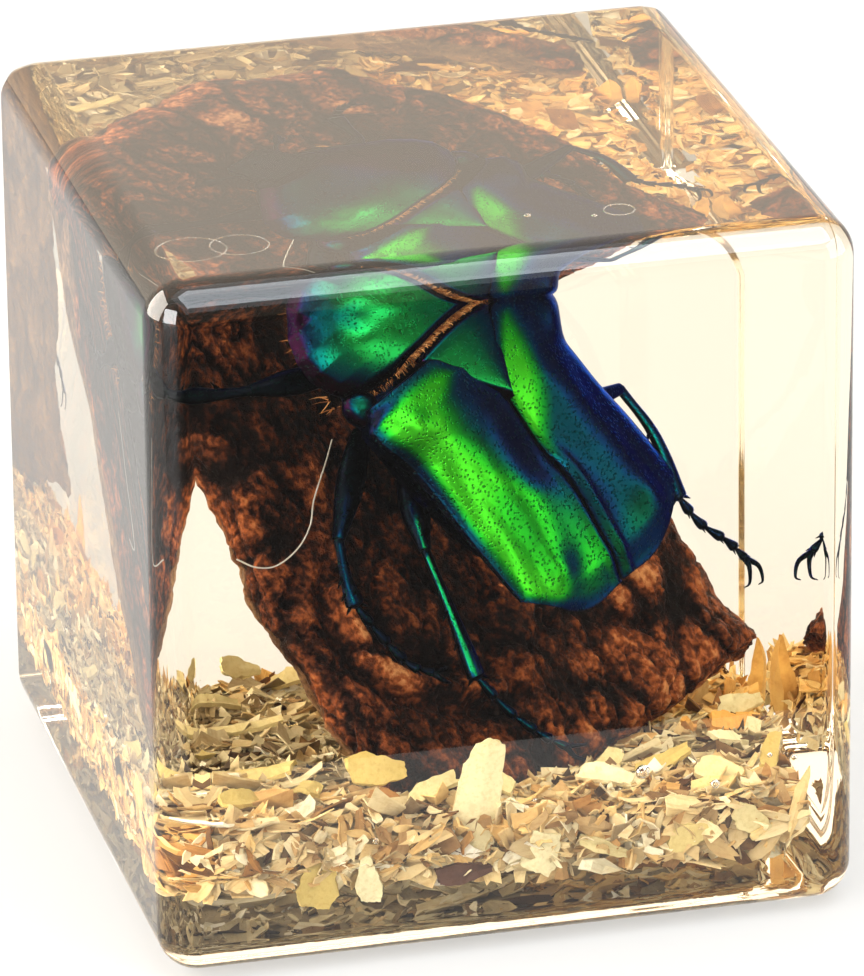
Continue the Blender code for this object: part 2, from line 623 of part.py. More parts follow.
def build_pocket(beetle_matrix, cutters):
    """The space that the contents fill: boxes and a ball round them, kept within the walls."""
    bark_matrix = frame(BARK_PLACE, BARK_LENGTHWAYS, BARK_FACE)
    pocket = box("pocket", *BARK_SPACE, cutters, bark_matrix)
    spaces = [
        box("litter_space", *LITTER_SPACE, cutters),
        box("tall_chip_space", *TALL_CHIP_SPACE, cutters),
        ball("body_space", BODY_SPACE_CENTRE, BODY_SPACE_RADII, 16, cutters, beetle_matrix),
        box("leg_space", *LEG_SPACE, cutters, beetle_matrix),
        box("head_space", *HEAD_SPACE, cutters, beetle_matrix),
    ]
    for space in spaces:
        hide_as_cutter(space)
        add_boolean(pocket, "UNION", space)
    low = (-REACH_X, -REACH_Y, REACH_BOTTOM)
    high = (REACH_X, REACH_Y, REACH_TOP)
    limits = box("pocket_limits", low, high, cutters)
    rounding = limits.modifiers.new("rounded_edges", "BEVEL")
    rounding.width = EDGE_ROUND - WALL * MM
    rounding.segments = 2
    hide_as_cutter(limits)
    add_boolean(pocket, "INTERSECT", limits)
    hide_as_cutter(pocket)
    return pocket


def build_resin(parts, cutters, pocket):
    """The cube in two halves that meet at the parting height, each with its share of the pocket."""
    finish = material("clear_resin", RESIN_COLOUR, 0.03)
    parting = PARTING_HEIGHT / MM
    half_gap = CLEARANCE / 2 / MM
    above = ((-BEYOND, -BEYOND, parting - half_gap), (BEYOND, BEYOND, BEYOND))
    below = ((-BEYOND, -BEYOND, -BEYOND), (BEYOND, BEYOND, parting + half_gap))
    spaces = {
        "resin_lower": box("upper_space", *above, cutters),
        "resin_upper": box("lower_space", *below, cutters),
    }
    half_width, half_depth, height = (
        size / MM for size in (BLOCK_WIDTH / 2, BLOCK_DEPTH / 2, BLOCK_HEIGHT)
    )
    for name, other_half in spaces.items():
        half = box(name, (-half_width, -half_depth, 0.0), (half_width, half_depth, height), parts)
        half.data.materials.append(finish)
        rounding = half.modifiers.new("rounded_edges", "BEVEL")
        rounding.width = EDGE_ROUND
        rounding.segments = ROUND_STEPS
        hide_as_cutter(other_half)
        add_boolean(half, "DIFFERENCE", other_half)
        add_boolean(half, "DIFFERENCE", pocket)


def main():
    clear_scene()
    parts = new_collection("insect_in_resin_block")
    cutters = new_collection("cutters")
    bark_clearance = build_bark(parts, cutters)
    beetle_matrix = build_beetle(parts, cutters)
    build_chips(parts)
    build_bed(parts, [bark_clearance] + build_notches(cutters))
    build_resin(parts, cutters, build_pocket(beetle_matrix, cutters))


main()
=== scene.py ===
"""The looks of a flower chafer on leaning bark over dry litter, cast in a clear resin cube.

Metres, +Z up, the cube's front facing -Y. Forms that follow the beetle or the bark are written in
millimetres in that thing's own frame, and are then turned into the cube's. Each point of a mesh
keeps its place in the first frame as the attribute "own", which the finishes follow.
"""

import math

import bmesh
import bpy
import numpy as np
from mathutils import Matrix, Vector, noise


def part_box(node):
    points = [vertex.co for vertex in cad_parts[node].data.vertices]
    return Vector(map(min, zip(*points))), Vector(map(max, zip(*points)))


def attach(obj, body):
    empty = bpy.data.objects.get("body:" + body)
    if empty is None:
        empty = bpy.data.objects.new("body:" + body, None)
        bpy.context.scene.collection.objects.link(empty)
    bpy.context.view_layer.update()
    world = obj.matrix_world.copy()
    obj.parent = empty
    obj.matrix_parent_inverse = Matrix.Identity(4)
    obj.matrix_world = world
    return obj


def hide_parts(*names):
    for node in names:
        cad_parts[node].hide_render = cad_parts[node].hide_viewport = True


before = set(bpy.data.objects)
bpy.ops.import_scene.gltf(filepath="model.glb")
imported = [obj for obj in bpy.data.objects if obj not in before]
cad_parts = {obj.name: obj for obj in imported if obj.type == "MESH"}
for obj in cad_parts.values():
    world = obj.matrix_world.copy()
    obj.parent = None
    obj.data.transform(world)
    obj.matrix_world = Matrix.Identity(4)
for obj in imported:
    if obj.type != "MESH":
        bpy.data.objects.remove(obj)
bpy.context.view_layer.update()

MM = 0.001
BODY = "root"

# The cube, in metres.
CUBE_LOW, CUBE_HIGH = (Vector(corner) for corner in (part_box("resin_lower")[0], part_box("resin_upper")[1]))
EDGE_ROUND = 0.0024
EDGE_STEPS = 12
# How much of that rounding the two upright edges at the back have.
BACK_EDGE_SHARE = 0.2
RESIN_IOR = 1.54
RESIN_TINT = (0.986, 0.930, 0.800, 1.0)
RESIN_DENSITY = 30.0
# What the resin has soaked barely shines, because light hardly bends on its way in.
SEALED_GLOSS = 0.06

# The beetle's frame in the cube: +X its right side, +Y its head, +Z its back.
BEETLE_PLACE = Vector((-0.87, -3.18, 31.13))
BEETLE_RIGHT = Vector((0.71, 0.61, 0.34))
BEETLE_HEADWAYS = Vector((-0.59, 0.26, 0.77))

# The bark plank's frame in the cube: +Y up its length, +Z out of its face.
BARK_PLACE = Vector((0.3, -0.5, 20.4))
BARK_LENGTHWAYS = Vector((-0.50, 0.33, 0.80))
BARK_FACE = Vector((0.44, -0.70, 0.56))

# The beetle's body, in millimetres in its own frame.
SUTURE_Y = -16.2
SHOULDER_WIDTH = 8.4
WAIST_WIDTH = 7.35
TAIL_WIDTH = 7.5
ELYTRA_BASE_Y = 2.1
ELYTRA_FRONT_RIDGE = 4.25
ELYTRA_RIDGE = 3.4
ELYTRA_TAIL_RIDGE = 1.5
ELYTRA_MARGIN = 1.2
SHOULDER_RISE = 0.9
PRONOTUM_HIND_Y = 3.1
PRONOTUM_FRONT_Y = 11.6
PRONOTUM_LEAN = -0.11
PRONOTUM_HEIGHT = 4.3
PRONOTUM_HIND_WIDTHS = ((3.0, 6.1), (3.6, 6.9), (4.6, 7.5), (5.9, 7.8))
PRONOTUM_HALF_WIDTHS = (*PRONOTUM_HIND_WIDTHS, (7.2, 7.5), (8.7, 6.6), (10.2, 4.9), (11.6, 3.1))
SCUTELLUM_WIDTH = 3.2
SCUTELLUM_LENGTH = 5.95
HEAD_FRONT_Y = 14.2
HEAD_WIDTH = 2.2
HEAD_ASIDE = -1.1
# The angle past which an edge on the wing cases and the shield stays sharp, in degrees.
BEETLE_SHARP = 50.0
# Painted light on each part: its green is painted brighter the more a point faces one way, a painted
# sheen from the lights. The way, and how far towards it a point turns where the green starts and where it is
# full.
PAINTED_LIGHT_SIDE = (-0.45, -0.14, 0.88)
WING_PAINTED_SHEEN = (PAINTED_LIGHT_SIDE, 0.50, 0.98)
LEG_PAINTED_SHEEN = (PAINTED_LIGHT_SIDE, 0.60, 1.04)
NECK_PAINTED_SHEEN = ((-0.40, 0.06, 0.91), 0.62, 1.0)
# How far from the suture the left wing case's blue disc and the right one's green strip reach; the blue
# is partly its own colour and partly painted shade.
LEFT_DISC_EDGE = ((-14.0, 1.2), (-9.0, 2.0), (-7.5, 3.0), (-5.5, 3.9), (-2.5, 4.3), (-0.4, 4.0), (1.2, 1.5))
RIGHT_STRIP_EDGE = ((-16.0, -1.2), (-9.0, -0.8), (-6.2, 0.5), (-4.7, 1.5), (-2.0, 3.0), (2.0, 4.2))


# ---------------------------------------------------------------- shared tools

def frame_matrix(place, lengthways, face):
    """Matrix of a frame at place (mm): +Y runs lengthways and +Z is nearest to face."""
    along = lengthways.normalized()
    across = along.cross(face).normalized()
    out = across.cross(along)
    turn = Matrix((across, along, out)).transposed().to_4x4()
    return Matrix.Translation(place * MM) @ turn


BEETLE_MATRIX = frame_matrix(BEETLE_PLACE, BEETLE_HEADWAYS, BEETLE_RIGHT.cross(BEETLE_HEADWAYS))
BARK_MATRIX = frame_matrix(BARK_PLACE, BARK_LENGTHWAYS, BARK_FACE)


def smooth(value):
    value = np.clip(value, 0.0, 1.0)
    return value * value * (3.0 - 2.0 * value)


def blend(start, end, share):
    return start + (end - start) * share


def bump(value, centre, width):
    """A smooth hump of height 1 at centre."""
    return np.exp(-(((value - centre) / width) ** 2))


def unit(vectors):
    return vectors / np.maximum(np.linalg.norm(vectors, axis=-1, keepdims=True), 1e-9)


def holds_volume(points, faces):
    """Whether a closed form's faces all look outwards: its volume then comes out positive."""
    corners = points[np.array([face[:3] for face in faces])]
    volume = np.einsum("ij,ij->i", corners[:, 0], np.cross(corners[:, 1], corners[:, 2])).sum()
    fourths = [face for face in faces if len(face) == 4]
    if fourths:
        rest = points[np.array([(face[0], face[2], face[3]) for face in fourths])]
        volume += np.einsum("ij,ij->i", rest[:, 0], np.cross(rest[:, 1], rest[:, 2])).sum()
    return volume > 0.0


class Heap:
    """Gathers closed forms, in millimetres, into one mesh.

    Every point keeps a tint and its place in the form's own frame, along which its grain runs.
    """

    def __init__(self, matrix=None):
        self.matrix = matrix or Matrix.Identity(4)
        self.points, self.faces, self.tints, self.places, self.warm_lights_and_woods = [], [], [], [], []
        self.count = 0

    def add(self, points, faces, tint=0.5, own=None, warm_light_and_wood=0.0):
        points = np.asarray(points, float).reshape(-1, 3)
        step = 1 if holds_volume(points, faces) else -1
        self.faces += [tuple(corner + self.count for corner in face[::step]) for face in faces]
        self.points.append(points)
        self.tints.append(np.broadcast_to(tint, len(points)).astype(np.float32))
        self.places.append(points if own is None else own)
        self.warm_lights_and_woods.append(np.full(len(points), warm_light_and_wood, np.float32))
        self.count += len(points)

    def build(self, name, finish, sharp=40.0, painted_light_way=None):
        mesh = bpy.data.meshes.new(name)
        mesh.from_pydata(np.concatenate(self.points) * MM, [], self.faces)
        store(mesh, "tint", np.concatenate(self.tints))
        store(mesh, "own", np.concatenate(self.places) * MM)
        store(mesh, "warm_light_and_wood", np.concatenate(self.warm_lights_and_woods))
        # Painted sheen: a share of painted light from how far each point faces the lit side.
        if painted_light_way:
            store(mesh, "painted_sheen", turned_to(mesh, *painted_light_way))
        return finish_piece(name, mesh, self.matrix, finish, sharp)


def store(mesh, name, values):
    """Keeps a number or a vector for every point of a mesh."""
    values = np.asarray(values, np.float32)
    kind, key = ("FLOAT_VECTOR", "vector") if values.ndim == 2 else ("FLOAT", "value")
    mesh.attributes.new(name, kind, "POINT").data.foreach_set(key, values.ravel())


def add_object(name, data):
    made = bpy.data.objects.new(name, data)
    bpy.context.scene.collection.objects.link(made)
    return made


def finish_piece(name, mesh, matrix, finish, sharp):
    """Puts a mesh where it belongs in the cube, with its finish, as a piece of the object."""
    mesh.transform(matrix)
    mesh.materials.clear()
    mesh.materials.append(finish)
    mesh.shade_smooth()
    mesh.set_sharp_from_angle(angle=math.radians(sharp))
    piece = add_object(name, mesh)
    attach(piece, BODY)
    return piece


def point_normals(mesh):
    normals = np.zeros(len(mesh.vertices) * 3, np.float32)
    mesh.vertex_normals.foreach_get("vector", normals)
    return normals.reshape(-1, 3)


def turned_to(mesh, towards, low, high):
    """How far each point's normal turns towards a direction, as a share from 0 to 1."""
    facing = point_normals(mesh) @ unit(np.array(towards))
    return smooth((facing - low) / (high - low))


def grid_faces(rows, columns, start=0, flip=False):
    faces = []
    for row in range(rows - 1):
        for column in range(columns - 1):
            a = start + row * columns + column
            face = (a, a + 1, a + columns + 1, a + columns)
            faces.append(face[::-1] if flip else face)
    return faces


def slab(upper, lower):
    """A closed form between two grids of points that face +Z and -Z."""
    rows, columns = upper.shape[:2]
    size = rows * columns
    faces = grid_faces(rows, columns, flip=True) + grid_faces(rows, columns, start=size)
    border = list(range(columns))
    border += [row * columns + columns - 1 for row in range(1, rows)]
    border += [(rows - 1) * columns + column for column in range(columns - 2, -1, -1)]
    border += [row * columns for row in range(rows - 2, 0, -1)]
    for a, b in zip(border, border[1:] + border[:1]):
        faces.append((a, b, b + size, a + size))
    return np.concatenate((upper.reshape(-1, 3), lower.reshape(-1, 3))), faces


def shell(upper, lower, painted_shades):
    """A slab with the painted shade of each point: the given painted shade above, and full painted shade
    below.
    """
    points, faces = slab(upper, lower)
    above = np.broadcast_to(painted_shades, upper.shape[:2]).reshape(-1)
    return points, faces, np.concatenate((above, np.ones(above.size)))


def tube_faces(rings, sides):
    """Faces of a closed tube: rings of points from end to end, and then a point at each tip."""
    faces = []
    for ring in range(rings - 1):
        for edge in range(sides):
            a, b = ring * sides + edge, ring * sides + (edge + 1) % sides
            faces.append((a, b, b + sides, a + sides))
    first, last = rings * sides, rings * sides + 1
    for edge in range(sides):
        after = (edge + 1) % sides
        faces.append((after, edge, first))
        faces.append(((rings - 1) * sides + edge, (rings - 1) * sides + after, last))
    return faces


def through(points, count):
    """A smooth curve of count points through the given ones."""
    points = np.asarray(points, float)
    ends = np.vstack((2 * points[0] - points[1], points, 2 * points[-1] - points[-2]))
    curve = []
    for place in np.linspace(0.0, len(points) - 1.000001, count):
        step = int(place)
        t = place - step
        a, b, c, d = ends[step : step + 4]
        curve.append(
            0.5 * (2 * b + (c - a) * t + (2 * a - 5 * b + 4 * c - d) * t**2)
            + 0.5 * (3 * b - a - 3 * c + d) * t**3
        )
    return np.array(curve)


def swept(route, radii, sides=10, flat=1.0):
    """A closed tube along a route with a radius at each point; flat squeezes it one way."""
    route = np.asarray(route, float)
    radii = np.broadcast_to(radii, len(route))
    ahead = unit(np.gradient(route, axis=0))
    side = unit(np.cross(ahead[0], (0.31, 0.17, 0.93)))
    turn = np.linspace(0.0, 2 * np.pi, sides, endpoint=False)
    points = []
    for place, way, radius in zip(route, ahead, radii):
        side = unit(side - way * np.dot(side, way))
        other = np.cross(way, side)
        ring = np.outer(np.cos(turn), side) + np.outer(np.sin(turn) * flat, other)
        points.append(place + ring * radius)
    tips = np.array((route[0] - ahead[0] * radii[0] * 0.5, route[-1] + ahead[-1] * radii[-1] * 0.5))
    return np.vstack((*points, tips)), tube_faces(len(route), sides)


def taken_from(shape):
    """The points and faces of a bmesh, which is freed."""
    points = np.array([vert.co for vert in shape.verts])
    faces = [tuple(vert.index for vert in face.verts) for face in shape.faces]
    shape.free()
    return points, faces


def ball(centre, radii, rings=14):
    """An ellipsoid."""
    shape = bmesh.new()
    bmesh.ops.create_uvsphere(shape, u_segments=2 * rings, v_segments=rings, radius=1.0)
    points, faces = taken_from(shape)
    return points * radii + centre, faces


# ---------------------------------------------------------------- material tools

def new_material(name):
    made = bpy.data.materials.new(name)
    made.use_nodes = True
    tree = made.node_tree
    return made, tree, tree.nodes["Principled BSDF"]


def add_node(tree, kind, values=(), **settings):
    """A node of that kind with its settings; values are (input, plain value or socket) pairs."""
    made = tree.nodes.new("ShaderNode" + kind)
    for key, value in settings.items():
        setattr(made, key, value)
    for key, value in values:
        if isinstance(value, bpy.types.NodeSocket):
            tree.links.new(value, made.inputs[key])
        else:
            made.inputs[key].default_value = value
    return made


def ramp(tree, share, stops):
    """Colours along a share from 0 to 1; stops are (position, colour) pairs."""
    made = add_node(tree, "ValToRGB", [("Fac", share)])
    points = made.color_ramp.elements
    while len(points) < len(stops):
        points.new(0.5)
    for point, (position, colour) in zip(points, stops):
        point.position = position
        point.color = (*colour, 1.0)
    return made.outputs["Color"]


def mixed(tree, share, first, second, mode="MIX"):
    made = add_node(tree, "Mix", data_type="RGBA", blend_type=mode)
    for key, value in ((0, share), (6, first), (7, second)):
        if isinstance(value, bpy.types.NodeSocket):
            tree.links.new(value, made.inputs[key])
        elif key == 0:
            made.inputs[0].default_value = value
        else:
            made.inputs[key].default_value = (*value, 1.0)
    return made.outputs[2]


def maths(tree, operation, *values):
    made = add_node(tree, "Math", enumerate(values), operation=operation)
    return made.outputs[0]


def attribute(tree, name):
    return add_node(tree, "Attribute", attribute_name=name).outputs["Fac"]


def own_place(tree):
    """Where a point is in its thing's own frame."""
    return add_node(tree, "Attribute", attribute_name="own").outputs["Vector"]


def drawn_out(tree, stretch):
    """That place with Y squeezed, so that a pattern comes out longer that way."""
    axes = add_node(tree, "SeparateXYZ", [(0, own_place(tree))])
    along = maths(tree, "DIVIDE", axes.outputs[1], stretch)
    values = [(0, axes.outputs[0]), (1, along), (2, axes.outputs[2])]
    return add_node(tree, "CombineXYZ", values).outputs[0]


def noise_field(tree, place, scale, detail, roughness=0.5):
    values = [("Vector", place), ("Scale", scale), ("Detail", detail), ("Roughness", roughness)]
    return add_node(tree, "TexNoise", values).outputs["Fac"]


def eased(tree, value, start, end, low=0.0, high=1.0):
    """Goes smoothly from low to high as a value goes from start to end."""
    values = [("Value", value), ("From Min", start), ("From Max", end), ("To Min", low), ("To Max", high)]
    return add_node(tree, "MapRange", values, interpolation_type="SMOOTHSTEP").outputs[0]


def set_roughness(tree, shader, share, low, high):
    """Makes a shader's roughness run from low to high with a share."""
    values = [("Value", share), ("To Min", low), ("To Max", high)]
    tree.links.new(add_node(tree, "MapRange", values).outputs[0], shader.inputs["Roughness"])


def start_group(name, inputs, outputs):
    """A node group with named inputs (name, default) and outputs (name, socket type)."""
    tree = bpy.data.node_groups.new(name, "ShaderNodeTree")
    for label, default in inputs:
        made = tree.interface.new_socket(label, in_out="INPUT", socket_type="NodeSocketFloat")
        made.default_value = default
    for label, kind in outputs:
        tree.interface.new_socket(label, in_out="OUTPUT", socket_type="NodeSocket" + kind)
    return tree, tree.nodes.new("NodeGroupInput"), tree.nodes.new("NodeGroupOutput")


def mottle_group():
    """Soft blotches and finer specks, for what varies from place to place."""
    tree, given, result = start_group(
        "mottle",
        [("Scale", 400.0), ("Stretch", 1.0), ("Detail", 6.0), ("Contrast", 2.0)],
        [("Blotches", "Float"), ("Specks", "Float")],
    )
    place = drawn_out(tree, given.outputs["Stretch"])
    for label, factor in (("Blotches", 1.0), ("Specks", 5.0)):
        scale = maths(tree, "MULTIPLY", given.outputs["Scale"], factor)
        centred = maths(tree, "SUBTRACT", noise_field(tree, place, scale, given.outputs["Detail"]), 0.5)
        spread = maths(tree, "MULTIPLY", centred, given.outputs["Contrast"])
        made = add_node(tree, "Math", [(0, spread), (1, 0.5)], operation="ADD", use_clamp=True)
        tree.links.new(made.outputs[0], result.inputs[label])
    return tree


def pits_group():
    """Small round pits and a fine wrinkle between them, as on a beetle's wing cases."""
    tree, given, result = start_group(
        "pits",
        [("Scale", 3600.0), ("Depth", 1.0), ("Wrinkle", 0.3)],
        [("Height", "Float"), ("Pits", "Float")],
    )
    place = own_place(tree)
    cells = add_node(tree, "TexVoronoi", [("Vector", place), ("Scale", given.outputs["Scale"])])
    pit = eased(tree, cells.outputs["Distance"], 0.12, 0.42)
    ripple = noise_field(tree, place, maths(tree, "MULTIPLY", given.outputs["Scale"], 0.35), 3.0)
    deep = maths(tree, "MULTIPLY", pit, given.outputs["Depth"])
    waved = maths(tree, "MULTIPLY", ripple, given.outputs["Wrinkle"])
    tree.links.new(maths(tree, "ADD", deep, waved), result.inputs["Height"])
    tree.links.new(maths(tree, "SUBTRACT", 1.0, pit), result.inputs["Pits"])
    return tree


def grain_group():
    """Fine fibres that run along a thing's own Y, with a height and a share of dark lines."""
    tree, given, result = start_group(
        "grain",
        [("Scale", 1500.0), ("Length", 9.0)],
        [("Height", "Float"), ("Lines", "Float")],
    )
    fibres = noise_field(tree, drawn_out(tree, given.outputs["Length"]), given.outputs["Scale"], 4.0, 0.6)
    tree.links.new(fibres, result.inputs["Height"])
    tree.links.new(eased(tree, fibres, 0.52, 0.36), result.inputs["Lines"])
    return tree


MOTTLE = mottle_group()
PITS = pits_group()
GRAIN = grain_group()


def use_group(tree, group, **values):
    made = tree.nodes.new("ShaderNodeGroup")
    made.node_tree = group
    for label, value in values.items():
        made.inputs[label].default_value = value
    return made


def add_bump(tree, shader, height, distance):
    made = add_node(tree, "Bump", [("Height", height), ("Distance", distance)])
    tree.links.new(made.outputs["Normal"], shader.inputs["Normal"])


# How much painted shade darkens a part where its tint marks it, and how much in its pits; the colour
# of the painted shade in the pits; and the tint at grazing angles.
PAINTED_SHADE_STRENGTH = 0.55
PIT_PAINTED_SHADE = 0.65
PIT_PAINTED_SHADE_COLOUR = (0.0, 0.02, 0.01)
GRAZING_TINT = (0.35, 0.45, 1.0, 1.0)


def chitin(name, stops, roughness, pit_scale, pit_depth, unevenness=0.14):
    """Metallic shell: its colour is painted light, brighter green the more it turns to the lit side, and
    painted shade where its tint marks it and in its pits.
    """
    made, tree, shader = new_material(name)
    mottle = use_group(tree, MOTTLE, Scale=260.0, Detail=4.0, Contrast=0.9)
    pits = use_group(tree, PITS, Scale=pit_scale)
    painted_sheen = attribute(tree, "painted_sheen")
    centred = maths(tree, "SUBTRACT", mottle.outputs["Blotches"], 0.5)
    drift = maths(tree, "MULTIPLY", centred, unevenness)
    # Painted shade: the tint moves the colour towards the dark end of the ramp.
    rim = maths(tree, "MULTIPLY", attribute(tree, "tint"), PAINTED_SHADE_STRENGTH)
    share = maths(tree, "SUBTRACT", maths(tree, "ADD", painted_sheen, drift), rim)
    colour = ramp(tree, share, stops)
    # Painted shade in the pits.
    shaded = maths(tree, "MULTIPLY", pits.outputs["Pits"], PIT_PAINTED_SHADE)
    tree.links.new(mixed(tree, shaded, colour, PIT_PAINTED_SHADE_COLOUR), shader.inputs["Base Color"])
    set_roughness(tree, shader, mottle.outputs["Specks"], roughness * 0.8, roughness * 1.25)
    shader.inputs["Metallic"].default_value = 1.0
    shader.inputs["Specular Tint"].default_value = GRAZING_TINT
    add_bump(tree, shader, pits.outputs["Height"], pit_depth * MM)
    return made


# The beetle's colours, from painted shade at 0 to painted light at 1.
WING_STOPS = [
    (0.00, (0.003, 0.003, 0.008)),
    (0.20, (0.002, 0.005, 0.024)),
    (0.38, (0.001, 0.014, 0.046)),
    (0.52, (0.000, 0.034, 0.040)),
    (0.66, (0.001, 0.075, 0.018)),
    (0.80, (0.004, 0.160, 0.010)),
    (0.92, (0.014, 0.290, 0.009)),
    (1.00, (0.040, 0.420, 0.012)),
]
NECK_STOPS = [
    (0.00, (0.007, 0.001, 0.005)),
    (0.16, (0.006, 0.002, 0.014)),
    (0.36, (0.001, 0.008, 0.026)),
    (0.58, (0.000, 0.020, 0.030)),
    (0.76, (0.000, 0.042, 0.034)),
    (0.90, (0.001, 0.110, 0.036)),
    (1.00, (0.008, 0.280, 0.048)),
]
LEG_STOPS = [
    (0.00, (0.002, 0.002, 0.003)),
    (0.70, (0.002, 0.004, 0.008)),
    (0.86, (0.001, 0.010, 0.040)),
    (0.95, (0.000, 0.050, 0.070)),
    (1.00, (0.003, 0.220, 0.060)),
]
BARK_STOPS = [
    (0.24, (0.005, 0.002, 0.001)),
    (0.40, (0.032, 0.009, 0.004)),
    (0.56, (0.130, 0.032, 0.010)),
    (0.72, (0.340, 0.092, 0.025)),
    (0.92, (0.660, 0.290, 0.105)),
]
WOOD_STOPS = [
    (0.2, (0.100, 0.045, 0.018)),
    (0.6, (0.340, 0.190, 0.085)),
    (1.0, (0.560, 0.360, 0.180)),
]
# What the bark's colour follows: the relief of its mesh, which carries painted shade in the cracks and
# low places and painted light on what stands out and on the sides, broad patches and fine grains.
RELIEF_AND_PAINTED_LIGHT_WEIGHT = 0.56
PATCH_WEIGHT = 0.30
GRAIN_WEIGHT = 0.24


def bark_finish():
    """Rough bark: dark hollows of painted shade, red-brown grains with painted light on what stands out, and
    pale brown inner wood.
    """
    made, tree, shader = new_material("weathered_bark")
    shader.inputs["Specular IOR Level"].default_value = SEALED_GLOSS
    patches = use_group(tree, MOTTLE, Scale=360.0, Stretch=1.5, Detail=12.0, Contrast=3.6)
    grains = use_group(tree, MOTTLE, Scale=2600.0, Stretch=1.3, Detail=6.0, Contrast=4.5)
    relief_and_painted_light = maths(tree, "MULTIPLY", attribute(tree, "tint"), RELIEF_AND_PAINTED_LIGHT_WEIGHT)
    patch = maths(tree, "MULTIPLY", patches.outputs["Blotches"], PATCH_WEIGHT)
    grain = maths(tree, "MULTIPLY", grains.outputs["Blotches"], GRAIN_WEIGHT)
    share = maths(tree, "ADD", maths(tree, "ADD", relief_and_painted_light, patch), grain)
    bark, wood = ramp(tree, share, BARK_STOPS), ramp(tree, share, WOOD_STOPS)
    tree.links.new(mixed(tree, attribute(tree, "warm_light_and_wood"), bark, wood), shader.inputs["Base Color"])
    set_roughness(tree, shader, grains.outputs["Specks"], 0.30, 0.75)
    specks = maths(tree, "MULTIPLY", grains.outputs["Specks"], 0.4)
    add_bump(tree, shader, maths(tree, "ADD", grains.outputs["Blotches"], specks), 0.16 * MM)
    return made


# What the veins and the spots of dry plant bits multiply their colour by, how much of the spots
# shows, and how far the blotches shift the tint and the roughness.
VEIN_COLOUR = (0.66, 0.52, 0.32)
SPOT_COLOUR = (0.70, 0.58, 0.42)
SPOT_SHARE = 0.25
TINT_DRIFT = 0.18
ROUGHNESS_SPREAD = 0.12


def dry_plant(name, stops, warm_light_stops=None, roughness=0.62, vein=0.35, dark=0.0):
    """Dry leaf and stem bits: each has its own tint and painted warm light, with fine veins and brown spots.
    """
    made, tree, shader = new_material(name)
    shader.inputs["Specular IOR Level"].default_value = SEALED_GLOSS
    mottle = use_group(tree, MOTTLE, Scale=900.0, Detail=5.0, Contrast=1.8)
    grain = use_group(tree, GRAIN, Scale=3200.0, Length=7.0)
    drift = maths(tree, "MULTIPLY", maths(tree, "SUBTRACT", mottle.outputs["Blotches"], 0.5), TINT_DRIFT)
    share = maths(tree, "ADD", attribute(tree, "tint"), drift)
    colour = ramp(tree, share, stops)
    if warm_light_stops:
        colour = mixed(tree, attribute(tree, "warm_light_and_wood"), colour, ramp(tree, share, warm_light_stops))
    veins = maths(tree, "MULTIPLY", grain.outputs["Lines"], vein)
    veined = mixed(tree, veins, colour, VEIN_COLOUR, "MULTIPLY")
    spots = maths(tree, "MULTIPLY", mottle.outputs["Specks"], SPOT_SHARE + dark)
    tree.links.new(mixed(tree, spots, veined, SPOT_COLOUR, "MULTIPLY"), shader.inputs["Base Color"])
    low, high = roughness - ROUGHNESS_SPREAD, roughness + ROUGHNESS_SPREAD
    set_roughness(tree, shader, mottle.outputs["Specks"], low, high)
    height = maths(tree, "ADD", grain.outputs["Height"], mottle.outputs["Blotches"])
    add_bump(tree, shader, height, 0.04 * MM)
    return made


HAIR_STOPS = [
    (0.0, (0.160, 0.050, 0.015)),
    (0.6, (0.420, 0.170, 0.050)),
    (1.0, (0.600, 0.330, 0.130)),
]
FIBRE_STOPS = [
    (0.0, (0.220, 0.210, 0.190)),
    (1.0, (0.460, 0.440, 0.400)),
]
LITTER_STOPS = [
    (0.00, (0.050, 0.030, 0.016)),
    (0.14, (0.180, 0.120, 0.060)),
    (0.34, (0.400, 0.320, 0.180)),
    (0.55, (0.580, 0.490, 0.290)),
    (0.75, (0.720, 0.630, 0.400)),
    (0.90, (0.830, 0.760, 0.550)),
    (1.00, (0.920, 0.880, 0.740)),
]
GOLDEN_STOPS = [
    (0.00, (0.120, 0.045, 0.012)),
    (0.18, (0.520, 0.230, 0.050)),
    (0.45, (0.820, 0.480, 0.130)),
    (0.75, (0.940, 0.680, 0.270)),
    (1.00, (0.960, 0.830, 0.480)),
]
PALE_STOPS = [
    (0.0, (0.600, 0.480, 0.220)),
    (0.5, (0.740, 0.640, 0.330)),
    (1.0, (0.840, 0.760, 0.480)),
]
YELLOW_STOPS = [
    (0.0, (0.420, 0.300, 0.080)),
    (0.5, (0.600, 0.450, 0.140)),
    (1.0, (0.740, 0.600, 0.260)),
]
ORANGE_STOPS = [
    (0.0, (0.420, 0.150, 0.030)),
    (0.5, (0.680, 0.290, 0.060)),
    (1.0, (0.800, 0.450, 0.120)),
]
SEED_STOPS = [
    (0.0, (0.020, 0.010, 0.008)),
    (0.5, (0.060, 0.028, 0.020)),
    (1.0, (0.120, 0.060, 0.040)),
]


def clear_resin():
    made, tree, shader = new_material("clear_resin")
    for label, value in (
        ("Base Color", (1.0, 1.0, 1.0, 1.0)),
        ("Roughness", 0.0),
        ("IOR", RESIN_IOR),
        ("Transmission Weight", 1.0),
    ):
        shader.inputs[label].default_value = value
    soak = add_node(tree, "VolumeAbsorption", [("Color", RESIN_TINT), ("Density", RESIN_DENSITY)])
    tree.links.new(soak.outputs[0], tree.nodes["Material Output"].inputs["Volume"])
    return made


# ---------------------------------------------------------------- cube

